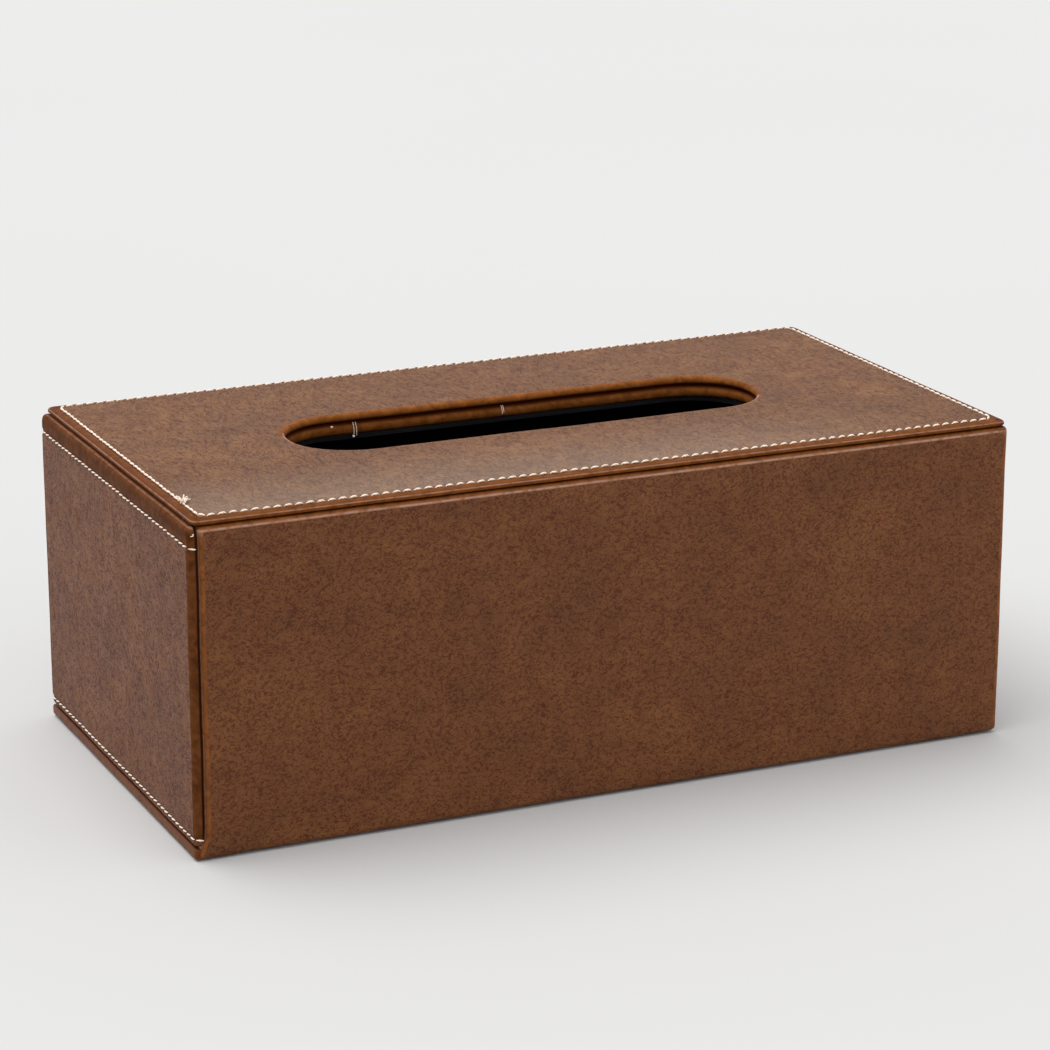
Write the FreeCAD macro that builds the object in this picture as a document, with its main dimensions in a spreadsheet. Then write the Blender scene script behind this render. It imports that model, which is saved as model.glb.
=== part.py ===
"""Tissue box with a drawer: a leatherette-wrapped sleeve with a slotted top, and a tray that slides out.

Millimetres, +Z up. The origin is at the middle of the face that the box rests on. The long front wall
faces -Y, and the drawer opens towards -X.
"""

import FreeCAD, Part
import math
import os
import Sketcher

SIZES = [
    # the whole box
    ("outer_length", 250.0, "length over the drawer front and the fixed end"),
    ("outer_width", 130.0, "width over the front and back walls"),
    ("wall_top", 93.5, "height of the walls' top edges above the table"),
    # sheet materials
    ("leather_thick", 0.6, "leatherette on every outer face"),
    ("lining_thick", 0.5, "black lining, and leatherette pared down where it is turned in"),
    ("felt_proud", 0.3, "how far the underside felt stands below the leatherette"),
    ("turn_in", 12.0, "width of leatherette turned in or under at an edge"),
    ("butt_gap", 0.1, "gap between two sheets that meet edge to edge"),
    # boards
    ("wall_board", 2.5, "board of the front, back and end walls"),
    ("base_board_thick", 2.0, "board of the base"),
    ("top_board_thick", 2.8, "structural top board between the walls"),
    ("edge_roll", 1.6, "radius of the walls' rolled edges"),
    ("base_roll", 0.5, "radius of the base's edges"),
    # stitched lid panel
    ("lid_card", 0.6, "stiffening card in the lid panel"),
    ("lid_seam", 0.3, "open seam between the walls' tops and the lid panel"),
    ("top_recess", 0.3, "how far the structural top lies below the walls' tops"),
    ("lid_left_inset", 1.6, "lid panel set in from the drawer front's face"),
    ("lid_right_inset", 0.6, "lid panel set in from the fixed end"),
    ("lid_side_inset", 0.3, "lid panel set in from the long walls"),
    ("lid_corner", 2.0, "corner radius of the lid panel"),
    ("lid_roll", 0.85, "radius of the lid panel's rolled edges"),
    ("lid_turn_in", 8.0, "leatherette turned in under the lid panel"),
    ("backing_inset", 3.0, "lid backing set back from the slot and from the open end"),
    # tissue slot
    ("slot_length", 145.9, "clear length of the slot"),
    ("slot_offset", 0.85, "slot's middle past the lid panel's middle, towards the fixed end"),
    ("slot_width", 36.8, "clear width of the slot"),
    ("slot_end_radius", 17.0, "radius of the slot's rounded ends"),
    ("collar_roll", 1.8, "radius of the lower, structural top's roll in the slot"),
    ("collar_turn_in", 8.0, "leatherette turned in round the slot"),
    ("top_lining", 1.2, "black lining board under the structural top"),
    ("top_lining_inset", 1.0, "lining board set back from the slot"),
    # stitching
    ("stitch_pitch", 3.1, "from one stitch to the next"),
    ("stitch_length", 2.2, "visible length of a stitch"),
    ("stitch_slant", 0.22, "sideways step of a slanted stitch"),
    ("thread_width", 0.5, "width of the thread"),
    ("thread_height", 0.3, "height of the thread over the bottom of its channel"),
    ("channel_width", 1.1, "channel that the thread pulls into the leatherette"),
    ("channel_depth", 0.2, "depth of that channel"),
    ("stitch_inset", 3.0, "stitch line from the lid panel's edge"),
    # drawer front
    ("front_thick", 2.8, "drawer front, board and covers together"),
    ("front_overhang", 0.2, "drawer front past the long walls, each side"),
    ("front_corner", 2.5, "corner radius of the drawer front"),
    ("front_roll", 1.8, "radius of the drawer front's soft edges"),
    ("front_gap", 0.5, "gap between the drawer front and the wall ends"),
    ("front_top_gap", 0.4, "gap between the drawer front and the lid panel above it"),
    ("upper_stitch_drop", 5.3, "upper stitch line below the drawer front's top"),
    ("lower_stitch_rise", 2.3, "lower stitch line above the drawer front's bottom"),
    ("front_stitch_inset", 2.4, "first stitch from the drawer front's side"),
    # tray
    ("tray_lift", 0.3, "running gap under the drawer"),
    ("tray_side_gap", 0.4, "running gap at each side of the tray"),
    ("tray_end_gap", 0.9, "gap behind the closed tray"),
    ("tray_height", 60.0, "outside height of the tray"),
    ("tray_board", 2.4, "boards of the tray"),
    ("tray_cover_thick", 0.4, "black cover on the tray's outside"),
]


class Size:
    """A length: its value now, and the sheet formula that keeps it."""

    def __init__(self, value, formula):
        self.value = value
        self.formula = formula

    def __add__(self, other):
        return Size(self.value + other.value, f"({self.formula} + {other.formula})")

    def __sub__(self, other):
        return Size(self.value - other.value, f"({self.formula} - {other.formula})")

    def __truediv__(self, other):
        return Size(self.value / other.value, f"({self.formula} / {other.formula})")

    def __neg__(self):
        return Size(-self.value, f"(0 - {self.formula})")


def plain(number):
    """A bare number as a Size."""
    return Size(number, str(number))


def whole(size):
    """The whole number at or under a Size."""
    return Size(math.floor(size.value), f"floor({size.formula})")


doc = FreeCAD.newDocument("tissue_box")
sheet = doc.addObject("Spreadsheet::Sheet", "sheet")
size = {}
for row, (alias, millimetres, note) in enumerate(SIZES, start=1):
    sheet.set(f"A{row}", alias)
    sheet.set(f"B{row}", str(millimetres))
    sheet.set(f"C{row}", note)
    sheet.setAlias(f"B{row}", alias)
    size[alias] = Size(millimetres, f"sheet.{alias}")
doc.recompute()

ZERO = plain(0.0)
TWO = plain(2.0)
LEATHER = size["leather_thick"]
LINING = size["lining_thick"]
TURN_IN = size["turn_in"]
BUTT_GAP = size["butt_gap"]
COLLAR_TURN_IN = size["collar_turn_in"]


# ---------------------------------------------------------------- where things lie

HALF_LENGTH = size["outer_length"] / TWO
HALF_WIDTH = size["outer_width"] / TWO
LEFT = -HALF_LENGTH
RIGHT = HALF_LENGTH

# heights, from the table up
LEATHER_BOTTOM = size["felt_proud"]
BASE_BOARD_BOTTOM = LEATHER_BOTTOM + LEATHER
BASE_BOARD_TOP = BASE_BOARD_BOTTOM + size["base_board_thick"]
FLOOR = BASE_BOARD_TOP + LINING
WALL_TOP = size["wall_top"]
WALL_BOARD_TOP = WALL_TOP - LEATHER
TOP_UPPER = WALL_TOP - size["top_recess"]
TOP_BOARD_UPPER = TOP_UPPER - LEATHER
TOP_BOARD_LOWER = TOP_BOARD_UPPER - size["top_board_thick"]
TOP_LOWER = TOP_BOARD_LOWER - LEATHER
TOP_LINING_LOWER = TOP_LOWER - size["top_lining"]
LID_LOWER = WALL_TOP + size["lid_seam"]
LID_CARD_LOWER = LID_LOWER + LEATHER
LID_CARD_UPPER = LID_CARD_LOWER + size["lid_card"]
LID_UPPER = LID_CARD_UPPER + LEATHER

# across the walls, from the outside in
BOARD_OUTER_Y = HALF_WIDTH - LEATHER
BOARD_INNER_Y = BOARD_OUTER_Y - size["wall_board"]
INNER_Y = BOARD_INNER_Y - LINING
BOARD_OUTER_X = RIGHT - LEATHER
BOARD_INNER_X = BOARD_OUTER_X - size["wall_board"]
INNER_X = BOARD_INNER_X - LINING
WALL_THICK = HALF_WIDTH - INNER_Y

# lengthwise, from the drawer front in
FRONT_BACK_X = LEFT + size["front_thick"]
MOUTH_X = FRONT_BACK_X + size["front_gap"]

# lid panel
LID_X = (LEFT + size["lid_left_inset"], RIGHT - size["lid_right_inset"])
LID_HALF_Y = HALF_WIDTH - size["lid_side_inset"]
SLOT_CENTRE_X = (LID_X[0] + LID_X[1]) / TWO + size["slot_offset"]

# drawer
DRAWER_BOTTOM = FLOOR + size["tray_lift"]
FRONT_TOP = LID_LOWER - size["front_top_gap"]
FRONT_HALF_Y = HALF_WIDTH + size["front_overhang"]
TRAY_COVER = size["tray_cover_thick"]
TRAY_END_X = INNER_X - size["tray_end_gap"]
TRAY_HALF_Y = INNER_Y - size["tray_side_gap"]
TRAY_TOP = DRAWER_BOTTOM + size["tray_height"]
TRAY_FLOOR = DRAWER_BOTTOM + size["tray_board"]
TRAY_BOARD_TOP = TRAY_TOP - TRAY_COVER
TRAY_BOARD_END_X = TRAY_END_X - TRAY_COVER
TRAY_BOARD_HALF_Y = TRAY_HALF_Y - TRAY_COVER
TRAY_INSIDE_X = (FRONT_BACK_X + size["tray_board"], TRAY_BOARD_END_X - size["tray_board"])
TRAY_INSIDE_HALF_Y = TRAY_BOARD_HALF_Y - size["tray_board"]


# ---------------------------------------------------------------- ways of making a piece

def both_sides(half):
    """The span that reaches as far to each side of the middle."""
    return (-half, half)


def slot_outline(growth):
    """The slot's outline, grown outwards on every side."""
    half_length = size["slot_length"] / TWO + growth
    half_width = size["slot_width"] / TWO + growth
    x_span = (SLOT_CENTRE_X - half_length, SLOT_CENTRE_X + half_length)
    return (x_span, both_sides(half_width), size["slot_end_radius"] + growth)


def add_board(name, x_span, y_span, z_span):
    """A square-edged board or sheet between three pairs of faces."""
    board = doc.addObject("Part::Box", name)
    board.Label = name
    for side, (low, high) in zip(("Length", "Width", "Height"), (x_span, y_span, z_span)):
        board.setExpression(side, (high - low).formula)
    for axis, (low, high) in zip("xyz", (x_span, y_span, z_span)):
        board.setExpression(f"Placement.Base.{axis}", low.formula)
    return board


def add_body(name):
    """An empty body whose features follow."""
    body = doc.addObject("PartDesign::Body", name)
    body.Label = name
    return body


def add_sketch(body, plane, level):
    """A sketch on one of the body's origin planes, moved along its normal."""
    sketch = body.newObject("Sketcher::SketchObject", f"{body.Name}_sketch")
    support = [item for item in body.Origin.OriginFeatures if item.Role == plane]
    sketch.AttachmentSupport = [(support[0], "")]
    sketch.MapMode = "FlatFace"
    sketch.setExpression("AttachmentOffset.Base.z", level.formula)
    return sketch


def hold(sketch, kind, places, length):
    """A sketch dimension that follows the sheet."""
    index = sketch.addConstraint(Sketcher.Constraint(kind, *places, length.value))
    sketch.setExpression(f"Constraints[{index}]", length.formula)


def draw_polygon(sketch, corners):
    """Straight lines through corners, each of them held from the origin."""
    first = sketch.GeometryCount
    count = len(corners)
    points = [FreeCAD.Vector(across.value, up.value, 0) for across, up in corners]
    for index, point in enumerate(points):
        sketch.addGeometry(Part.LineSegment(point, points[(index + 1) % count]))
    for index, (across, up) in enumerate(corners):
        before = first + (index - 1) % count
        sketch.addConstraint(Sketcher.Constraint("Coincident", before, 2, first + index, 1))
        hold(sketch, "DistanceX", (-1, 1, first + index, 1), across)
        hold(sketch, "DistanceY", (-1, 1, first + index, 1), up)


def draw_rectangle(sketch, across, up):
    """A rectangle between two pairs of sides."""
    corners = [(across[0], up[0]), (across[1], up[0]), (across[1], up[1]), (across[0], up[1])]
    draw_polygon(sketch, corners)


def draw_rounded(sketch, across, up, radius):
    """A rectangle with four equal round corners."""
    first = sketch.GeometryCount
    left, right = across[0].value, across[1].value
    bottom, top, round_off = up[0].value, up[1].value, radius.value
    lines = [
        ((left + round_off, bottom), (right - round_off, bottom)),
        ((right, bottom + round_off), (right, top - round_off)),
        ((right - round_off, top), (left + round_off, top)),
        ((left, top - round_off), (left, bottom + round_off)),
    ]
    centres = [
        (right - round_off, bottom + round_off),
        (right - round_off, top - round_off),
        (left + round_off, top - round_off),
        (left + round_off, bottom + round_off),
    ]
    for index, (start, end) in enumerate(lines):
        sketch.addGeometry(Part.LineSegment(FreeCAD.Vector(*start, 0), FreeCAD.Vector(*end, 0)))
        circle = Part.Circle(FreeCAD.Vector(*centres[index], 0), FreeCAD.Vector(0, 0, 1), round_off)
        start_angle = (index - 1) * math.pi / 2
        sketch.addGeometry(Part.ArcOfCircle(circle, start_angle, start_angle + math.pi / 2))
    for index in range(4):
        line = first + 2 * index
        arc = line + 1
        next_line = first + (2 * index + 2) % 8
        sketch.addConstraint(Sketcher.Constraint("Tangent", line, 2, arc, 1))
        sketch.addConstraint(Sketcher.Constraint("Tangent", arc, 2, next_line, 1))
        direction = "Horizontal" if index % 2 == 0 else "Vertical"
        sketch.addConstraint(Sketcher.Constraint(direction, line))
        if index:
            sketch.addConstraint(Sketcher.Constraint("Equal", first + 1, arc))
    hold(sketch, "DistanceY", (-1, 1, first, 1), up[0])
    hold(sketch, "DistanceX", (-1, 1, first + 2, 1), across[1])
    hold(sketch, "DistanceY", (-1, 1, first + 4, 1), up[1])
    hold(sketch, "DistanceX", (-1, 1, first + 6, 1), across[0])
    hold(sketch, "Radius", (first + 1,), radius)


def finish_feature(feature, sketch, length, reverse):
    """What a pad and a pocket share."""
    feature.Profile = sketch
    feature.setExpression("Length", length.formula)
    feature.Reversed = reverse
    doc.recompute()
    return feature


def add_pad(body, sketch, length, reverse=False):
    """Material along the sketch's normal, or against it."""
    return finish_feature(body.newObject("PartDesign::Pad", f"{body.Name}_pad"), sketch, length, reverse)


def add_pocket(body, sketch, length, reverse=False):
    """A cut against the sketch's normal, or along it. It must take something away."""
    before = body.Tip.Shape.Volume
    pocket = body.newObject("PartDesign::Pocket", f"{body.Name}_pocket")
    finish_feature(pocket, sketch, length, reverse)
    if pocket.Shape.Volume > before - 1e-6:
        raise RuntimeError(f"{pocket.Name} cuts nothing")
    return pocket


def on_face(axis, level):
    """A test for edges that lie flat in the plane where axis equals level."""
    def test(edge):
        box = edge.BoundBox
        low, high = getattr(box, f"{axis}Min"), getattr(box, f"{axis}Max")
        return abs(low - level.value) < 1e-4 and abs(high - level.value) < 1e-4
    return test


def add_fillet(body, radius, tests):
    """Round every edge of the body that passes any of the tests."""
    base = body.Tip
    edges = [f"Edge{number}" for number, edge in enumerate(base.Shape.Edges, start=1)
             if any(test(edge) for test in tests)]
    fillet = body.newObject("PartDesign::Fillet", f"{body.Name}_fillet")
    fillet.Base = (base, edges)
    fillet.setExpression("Radius", radius.formula)
    doc.recompute()
    return fillet


def all_of(*tests):
    """A test that asks for every one of several tests."""
    return lambda edge: all(test(edge) for test in tests)


def inside_slot(growth, level):
    """A test for edges at a level that run round the slot, grown by so much."""
    x_span, y_span, _ = slot_outline(growth)
    flat = on_face("Z", level)

    def test(edge):
        box = edge.BoundBox
        in_length = box.XMin > x_span[0].value - 1e-3 and box.XMax < x_span[1].value + 1e-3
        in_width = box.YMin > y_span[0].value - 1e-3 and box.YMax < y_span[1].value + 1e-3
        return flat(edge) and in_length and in_width
    return test


def draw_ring(sketch, x_span, half_y, slot_growth, corner=None):
    """A sheet's outline with the slot's outline, grown by so much, inside it."""
    if corner is None:
        draw_rectangle(sketch, x_span, both_sides(half_y))
    else:
        draw_rounded(sketch, x_span, both_sides(half_y), corner)
    draw_rounded(sketch, *slot_outline(slot_growth))


def add_stitch_row(body, plane, level, start, step, count, upright, reverse=False):
    """One slanted stitch, repeated along a line.

    start is the stitch's first corner in the sketch, step the pitch, and upright says that the row
    runs along the sketch's second axis.
    """
    slant, run = size["stitch_slant"], size["stitch_length"]
    width = size["thread_width"]
    across, up = start
    corners = [
        (across, up),
        (across + run, up + slant),
        (across + run, up + slant + width),
        (across, up + width),
    ]
    if upright:
        corners = [
            (across, up),
            (across + width, up),
            (across + width - slant, up + run),
            (across - slant, up + run),
        ]
    sketch = add_sketch(body, plane, level)
    draw_polygon(sketch, corners)
    pad = add_pad(body, sketch, size["thread_height"], reverse)
    row = body.newObject("PartDesign::LinearPattern", f"{body.Name}_row")
    row.Originals = [pad]
    row.Direction = (sketch, ["V_Axis" if upright else "H_Axis"])
    row.Mode = "Spacing"
    row.setExpression("Offset", step.formula)
    row.setExpression("Occurrences", count.formula)
    body.Tip = row
    doc.recompute()


# ---------------------------------------------------------------- base

def make_base():
    add_board("base_board", (LEFT + LEATHER, BOARD_OUTER_X), both_sides(BOARD_OUTER_Y),
              (BASE_BOARD_BOTTOM, BASE_BOARD_TOP))
    felt_half_x = HALF_LENGTH - TURN_IN - BUTT_GAP
    felt_half_y = HALF_WIDTH - TURN_IN - BUTT_GAP
    add_board("underside_felt", both_sides(felt_half_x), both_sides(felt_half_y),
              (ZERO, BASE_BOARD_BOTTOM))
    flap_end = LEFT + TURN_IN
    add_board("floor_lining", (flap_end + BUTT_GAP, INNER_X), both_sides(INNER_Y),
              (BASE_BOARD_TOP, FLOOR))

    # leatherette over the base's left edge, turned in above the board and under it
    body = add_body("base_leather")
    sketch = add_sketch(body, "XY_Plane", BASE_BOARD_BOTTOM)
    draw_rectangle(sketch, (LEFT, flap_end), both_sides(INNER_Y))
    add_pad(body, sketch, FLOOR - BASE_BOARD_BOTTOM)
    sketch = add_sketch(body, "XY_Plane", LEATHER_BOTTOM)
    draw_rectangle(sketch, (LEFT, flap_end), both_sides(felt_half_y))
    add_pad(body, sketch, LEATHER)
    add_fillet(body, size["base_roll"], [all_of(on_face("X", LEFT), on_face("Z", FLOOR))])
    sketch = add_sketch(body, "XY_Plane", BASE_BOARD_TOP)
    draw_rectangle(sketch, (LEFT + LEATHER, flap_end), both_sides(INNER_Y))
    add_pocket(body, sketch, size["base_board_thick"])


# ---------------------------------------------------------------- walls

def make_long_walls():
    for name, y_board, y_lining in (
        ("front", (-BOARD_OUTER_Y, -BOARD_INNER_Y), (-BOARD_INNER_Y, -INNER_Y)),
        ("back", (BOARD_INNER_Y, BOARD_OUTER_Y), (INNER_Y, BOARD_INNER_Y)),
    ):
        add_board(f"{name}_board", (MOUTH_X + LEATHER, BOARD_OUTER_X), y_board,
                  (BASE_BOARD_TOP, WALL_BOARD_TOP))
        add_board(f"{name}_lining", (MOUTH_X + TURN_IN + BUTT_GAP, INNER_X), y_lining,
                  (BASE_BOARD_TOP, TOP_LOWER))

    # one piece of leatherette over the wall, its rolled edges, the base's edge and the turn-under
    body = add_body("front_leather")
    sketch = add_sketch(body, "XZ_Plane", INNER_Y)
    draw_polygon(sketch, [
        (LEFT, LEATHER_BOTTOM), (RIGHT, LEATHER_BOTTOM), (RIGHT, WALL_TOP),
        (MOUTH_X, WALL_TOP), (MOUTH_X, FLOOR), (LEFT, FLOOR),
    ])
    add_pad(body, sketch, WALL_THICK)
    sketch = add_sketch(body, "XY_Plane", LEATHER_BOTTOM)
    draw_rectangle(sketch, (LEFT, RIGHT), (-HALF_WIDTH, TURN_IN - HALF_WIDTH))
    add_pad(body, sketch, LEATHER)
    outer = on_face("Y", -HALF_WIDTH)
    add_fillet(body, size["edge_roll"], [
        all_of(outer, on_face("Z", WALL_TOP)),
        all_of(outer, on_face("X", RIGHT)),
        all_of(outer, on_face("X", MOUTH_X)),
    ])
    sketch = add_sketch(body, "XZ_Plane", BOARD_OUTER_Y)
    draw_rectangle(sketch, (LEFT + LEATHER, BOARD_OUTER_X), (BASE_BOARD_BOTTOM, BASE_BOARD_TOP))
    add_pocket(body, sketch, BOARD_OUTER_Y - INNER_Y)
    sketch = add_sketch(body, "XZ_Plane", BOARD_OUTER_Y)
    draw_rectangle(sketch, (MOUTH_X + LEATHER, BOARD_OUTER_X), (BASE_BOARD_TOP, WALL_BOARD_TOP))
    add_pocket(body, sketch, size["wall_board"])
    sketch = add_sketch(body, "XZ_Plane", BOARD_INNER_Y)
    draw_rectangle(sketch, (MOUTH_X + TURN_IN, INNER_X), (BASE_BOARD_TOP, TOP_LOWER))
    add_pocket(body, sketch, LINING)

    mirrored = doc.addObject("Part::Mirroring", "back_leather")
    mirrored.Label = "back_leather"
    mirrored.Source = body
    mirrored.Normal = FreeCAD.Vector(0, 1, 0)
    mirrored.Base = FreeCAD.Vector(0, 0, 0)


def make_end_wall():
    width = both_sides(INNER_Y)
    add_board("end_board", (BOARD_INNER_X, BOARD_OUTER_X), width, (BASE_BOARD_TOP, WALL_BOARD_TOP))
    add_board("end_lining", (INNER_X, BOARD_INNER_X), width, (BASE_BOARD_TOP, TOP_LOWER))

    body = add_body("end_leather")
    sketch = add_sketch(body, "YZ_Plane", INNER_X)
    draw_rectangle(sketch, width, (BASE_BOARD_BOTTOM, WALL_TOP))
    add_pad(body, sketch, RIGHT - INNER_X)
    sketch = add_sketch(body, "XY_Plane", LEATHER_BOTTOM)
    flap_half_y = HALF_WIDTH - TURN_IN - BUTT_GAP
    draw_rectangle(sketch, (RIGHT - TURN_IN, RIGHT), both_sides(flap_half_y))
    add_pad(body, sketch, LEATHER)
    add_fillet(body, size["edge_roll"], [all_of(on_face("X", RIGHT), on_face("Z", WALL_TOP))])
    sketch = add_sketch(body, "YZ_Plane", BOARD_OUTER_X)
    draw_rectangle(sketch, width, (BASE_BOARD_BOTTOM, BASE_BOARD_TOP))
    add_pocket(body, sketch, BOARD_OUTER_X - INNER_X)
    sketch = add_sketch(body, "YZ_Plane", BOARD_OUTER_X)
    draw_rectangle(sketch, width, (BASE_BOARD_TOP, WALL_BOARD_TOP))
    add_pocket(body, sketch, size["wall_board"])
    sketch = add_sketch(body, "YZ_Plane", BOARD_INNER_X)
    draw_rectangle(sketch, width, (BASE_BOARD_TOP, TOP_LOWER))
    add_pocket(body, sketch, LINING)


# ---------------------------------------------------------------- structural top

def make_inner_top():
    body = add_body("inner_top_board")
    sketch = add_sketch(body, "XY_Plane", TOP_BOARD_LOWER)
    draw_ring(sketch, (MOUTH_X + LEATHER, INNER_X), INNER_Y, LEATHER)
    add_pad(body, sketch, size["top_board_thick"])

    # cover over the top face, the mouth's edge and the slot's edge, with flaps turned in below
    body = add_body("inner_top_leather")
    sketch = add_sketch(body, "XY_Plane", TOP_LOWER)
    draw_ring(sketch, (MOUTH_X, INNER_X), INNER_Y, ZERO)
    add_pad(body, sketch, TOP_UPPER - TOP_LOWER)
    add_fillet(body, size["collar_roll"], [inside_slot(ZERO, TOP_UPPER), inside_slot(ZERO, TOP_LOWER)])
    mouth = on_face("X", MOUTH_X)
    add_fillet(body, size["edge_roll"], [
        all_of(mouth, on_face("Z", TOP_UPPER)),
        all_of(mouth, on_face("Z", TOP_LOWER)),
    ])
    sketch = add_sketch(body, "XY_Plane", TOP_BOARD_UPPER)
    draw_ring(sketch, (MOUTH_X + LEATHER, INNER_X), INNER_Y, LEATHER)
    add_pocket(body, sketch, size["top_board_thick"])
    sketch = add_sketch(body, "XY_Plane", TOP_BOARD_LOWER)
    draw_ring(sketch, (MOUTH_X + TURN_IN, INNER_X), INNER_Y, COLLAR_TURN_IN)
    add_pocket(body, sketch, LEATHER)

    # lining board: it covers the flaps and fills the field between them
    body = add_body("inner_top_lining")
    sketch = add_sketch(body, "XY_Plane", TOP_LINING_LOWER)
    draw_ring(sketch, (MOUTH_X + size["backing_inset"], INNER_X), INNER_Y, size["top_lining_inset"])
    add_pad(body, sketch, size["top_lining"])
    sketch = add_sketch(body, "XY_Plane", TOP_LOWER)
    draw_ring(sketch, (MOUTH_X + TURN_IN + BUTT_GAP, INNER_X), INNER_Y, COLLAR_TURN_IN + BUTT_GAP)
    add_pad(body, sketch, LEATHER)


# ---------------------------------------------------------------- stitched lid panel

def inset_lid(distance):
    """The lid panel's length and half width, set in on every side."""
    return (LID_X[0] + distance, LID_X[1] - distance), LID_HALF_Y - distance


def make_lid():
    body = add_body("lid_backing")
    sketch = add_sketch(body, "XY_Plane", TOP_UPPER)
    backing_x = (MOUTH_X + size["backing_inset"], INNER_X)
    draw_ring(sketch, backing_x, INNER_Y, size["backing_inset"])
    add_pad(body, sketch, LID_LOWER - TOP_UPPER)
    sketch = add_sketch(body, "XY_Plane", LID_LOWER)
    field_x, field_half_y = inset_lid(size["lid_turn_in"] + BUTT_GAP)
    draw_ring(sketch, field_x, field_half_y, COLLAR_TURN_IN + BUTT_GAP)
    add_pad(body, sketch, LEATHER)

    body = add_body("lid_board")
    sketch = add_sketch(body, "XY_Plane", LID_CARD_LOWER)
    card_x, card_half_y = inset_lid(LEATHER)
    card_corner = size["lid_corner"] - LEATHER
    draw_ring(sketch, card_x, card_half_y, LEATHER, card_corner)
    add_pad(body, sketch, size["lid_card"])

    body = add_body("lid_leather")
    sketch = add_sketch(body, "XY_Plane", LID_LOWER)
    draw_ring(sketch, LID_X, LID_HALF_Y, ZERO, size["lid_corner"])
    add_pad(body, sketch, LID_UPPER - LID_LOWER)
    add_fillet(body, size["lid_roll"], [on_face("Z", LID_UPPER), on_face("Z", LID_LOWER)])
    sketch = add_sketch(body, "XY_Plane", LID_CARD_UPPER)
    draw_ring(sketch, card_x, card_half_y, LEATHER, card_corner)
    add_pocket(body, sketch, size["lid_card"])
    sketch = add_sketch(body, "XY_Plane", LID_CARD_LOWER)
    window_x, window_half_y = inset_lid(size["lid_turn_in"])
    draw_ring(sketch, window_x, window_half_y, COLLAR_TURN_IN)
    add_pocket(body, sketch, LEATHER)
    half_channel = size["channel_width"] / TWO
    sketch = add_sketch(body, "XY_Plane", LID_UPPER)
    for inset in (size["stitch_inset"] - half_channel, size["stitch_inset"] + half_channel):
        channel_x, channel_half_y = inset_lid(inset)
        draw_rectangle(sketch, channel_x, both_sides(channel_half_y))
    add_pocket(body, sketch, size["channel_depth"])


def make_lid_stitching():
    """A row of stitches along each side of the lid panel, in the channel."""
    body = add_body("lid_stitching")
    level = LID_UPPER - size["channel_depth"]
    row_x, row_half_y = inset_lid(size["stitch_inset"])
    spare = size["stitch_pitch"] - size["stitch_length"]
    pitch = size["stitch_pitch"]
    middle = (size["thread_width"] + size["stitch_slant"]) / TWO
    long_count = whole((row_x[1] - row_x[0] - spare) / pitch)
    short_count = whole((row_half_y + row_half_y - spare) / pitch)
    for y_line in (-row_half_y, row_half_y):
        start = (row_x[0] + spare, y_line - middle)
        add_stitch_row(body, "XY_Plane", level, start, pitch, long_count, upright=False)
    half_thread = (size["thread_width"] - size["stitch_slant"]) / TWO
    for x_line in row_x:
        start = (x_line - half_thread, spare - row_half_y)
        add_stitch_row(body, "XY_Plane", level, start, pitch, short_count, upright=True)


# ---------------------------------------------------------------- drawer front

def make_drawer_front():
    cover_z = (DRAWER_BOTTOM, FRONT_TOP)
    board_z = (DRAWER_BOTTOM + LEATHER, FRONT_TOP - LEATHER)
    board_y = both_sides(FRONT_HALF_Y - LEATHER)
    board_corner = size["front_corner"] - LEATHER
    board_thick = size["front_thick"] - LEATHER - LINING

    body = add_body("drawer_front_board")
    sketch = add_sketch(body, "YZ_Plane", LEFT + LEATHER)
    draw_rounded(sketch, board_y, board_z, board_corner)
    add_pad(body, sketch, board_thick)

    body = add_body("drawer_front_leather")
    sketch = add_sketch(body, "YZ_Plane", LEFT)
    draw_rounded(sketch, both_sides(FRONT_HALF_Y), cover_z, size["front_corner"])
    add_pad(body, sketch, size["front_thick"])
    add_fillet(body, size["front_roll"], [on_face("X", LEFT)])
    sketch = add_sketch(body, "YZ_Plane", LEFT + LEATHER)
    draw_rounded(sketch, board_y, board_z, board_corner)
    add_pocket(body, sketch, board_thick, reverse=True)
    window_y = both_sides(FRONT_HALF_Y - TURN_IN)
    window_z = (DRAWER_BOTTOM + TURN_IN, FRONT_TOP - TURN_IN)
    sketch = add_sketch(body, "YZ_Plane", FRONT_BACK_X - LINING)
    draw_rectangle(sketch, window_y, window_z)
    add_pocket(body, sketch, LINING, reverse=True)
    half_channel = size["channel_width"] / TWO
    channel_y = both_sides(FRONT_HALF_Y - size["front_roll"])
    sketch = add_sketch(body, "YZ_Plane", LEFT)
    for line in front_stitch_lines().values():
        draw_rectangle(sketch, channel_y, (line - half_channel, line + half_channel))
    add_pocket(body, sketch, size["channel_depth"], reverse=True)

    add_board("drawer_front_backing", (FRONT_BACK_X - LINING, FRONT_BACK_X),
              both_sides(FRONT_HALF_Y - TURN_IN - BUTT_GAP),
              (DRAWER_BOTTOM + TURN_IN + BUTT_GAP, FRONT_TOP - TURN_IN - BUTT_GAP))


def front_stitch_lines():
    """The heights of the drawer front's two stitch lines."""
    return {
        "upper": FRONT_TOP - size["upper_stitch_drop"],
        "lower": DRAWER_BOTTOM + size["lower_stitch_rise"],
    }


def make_drawer_front_stitching():
    start_y = size["front_stitch_inset"] - FRONT_HALF_Y
    pitch = size["stitch_pitch"]
    count = whole((FRONT_HALF_Y + FRONT_HALF_Y - size["front_stitch_inset"] - size["front_roll"]) / pitch)
    middle = (size["thread_width"] + size["stitch_slant"]) / TWO
    for name, line in front_stitch_lines().items():
        body = add_body(f"drawer_front_{name}_stitching")
        level = LEFT + size["channel_depth"]
        add_stitch_row(body, "YZ_Plane", level, (start_y, line - middle), pitch, count,
                       upright=False, reverse=True)


# ---------------------------------------------------------------- tray

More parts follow.
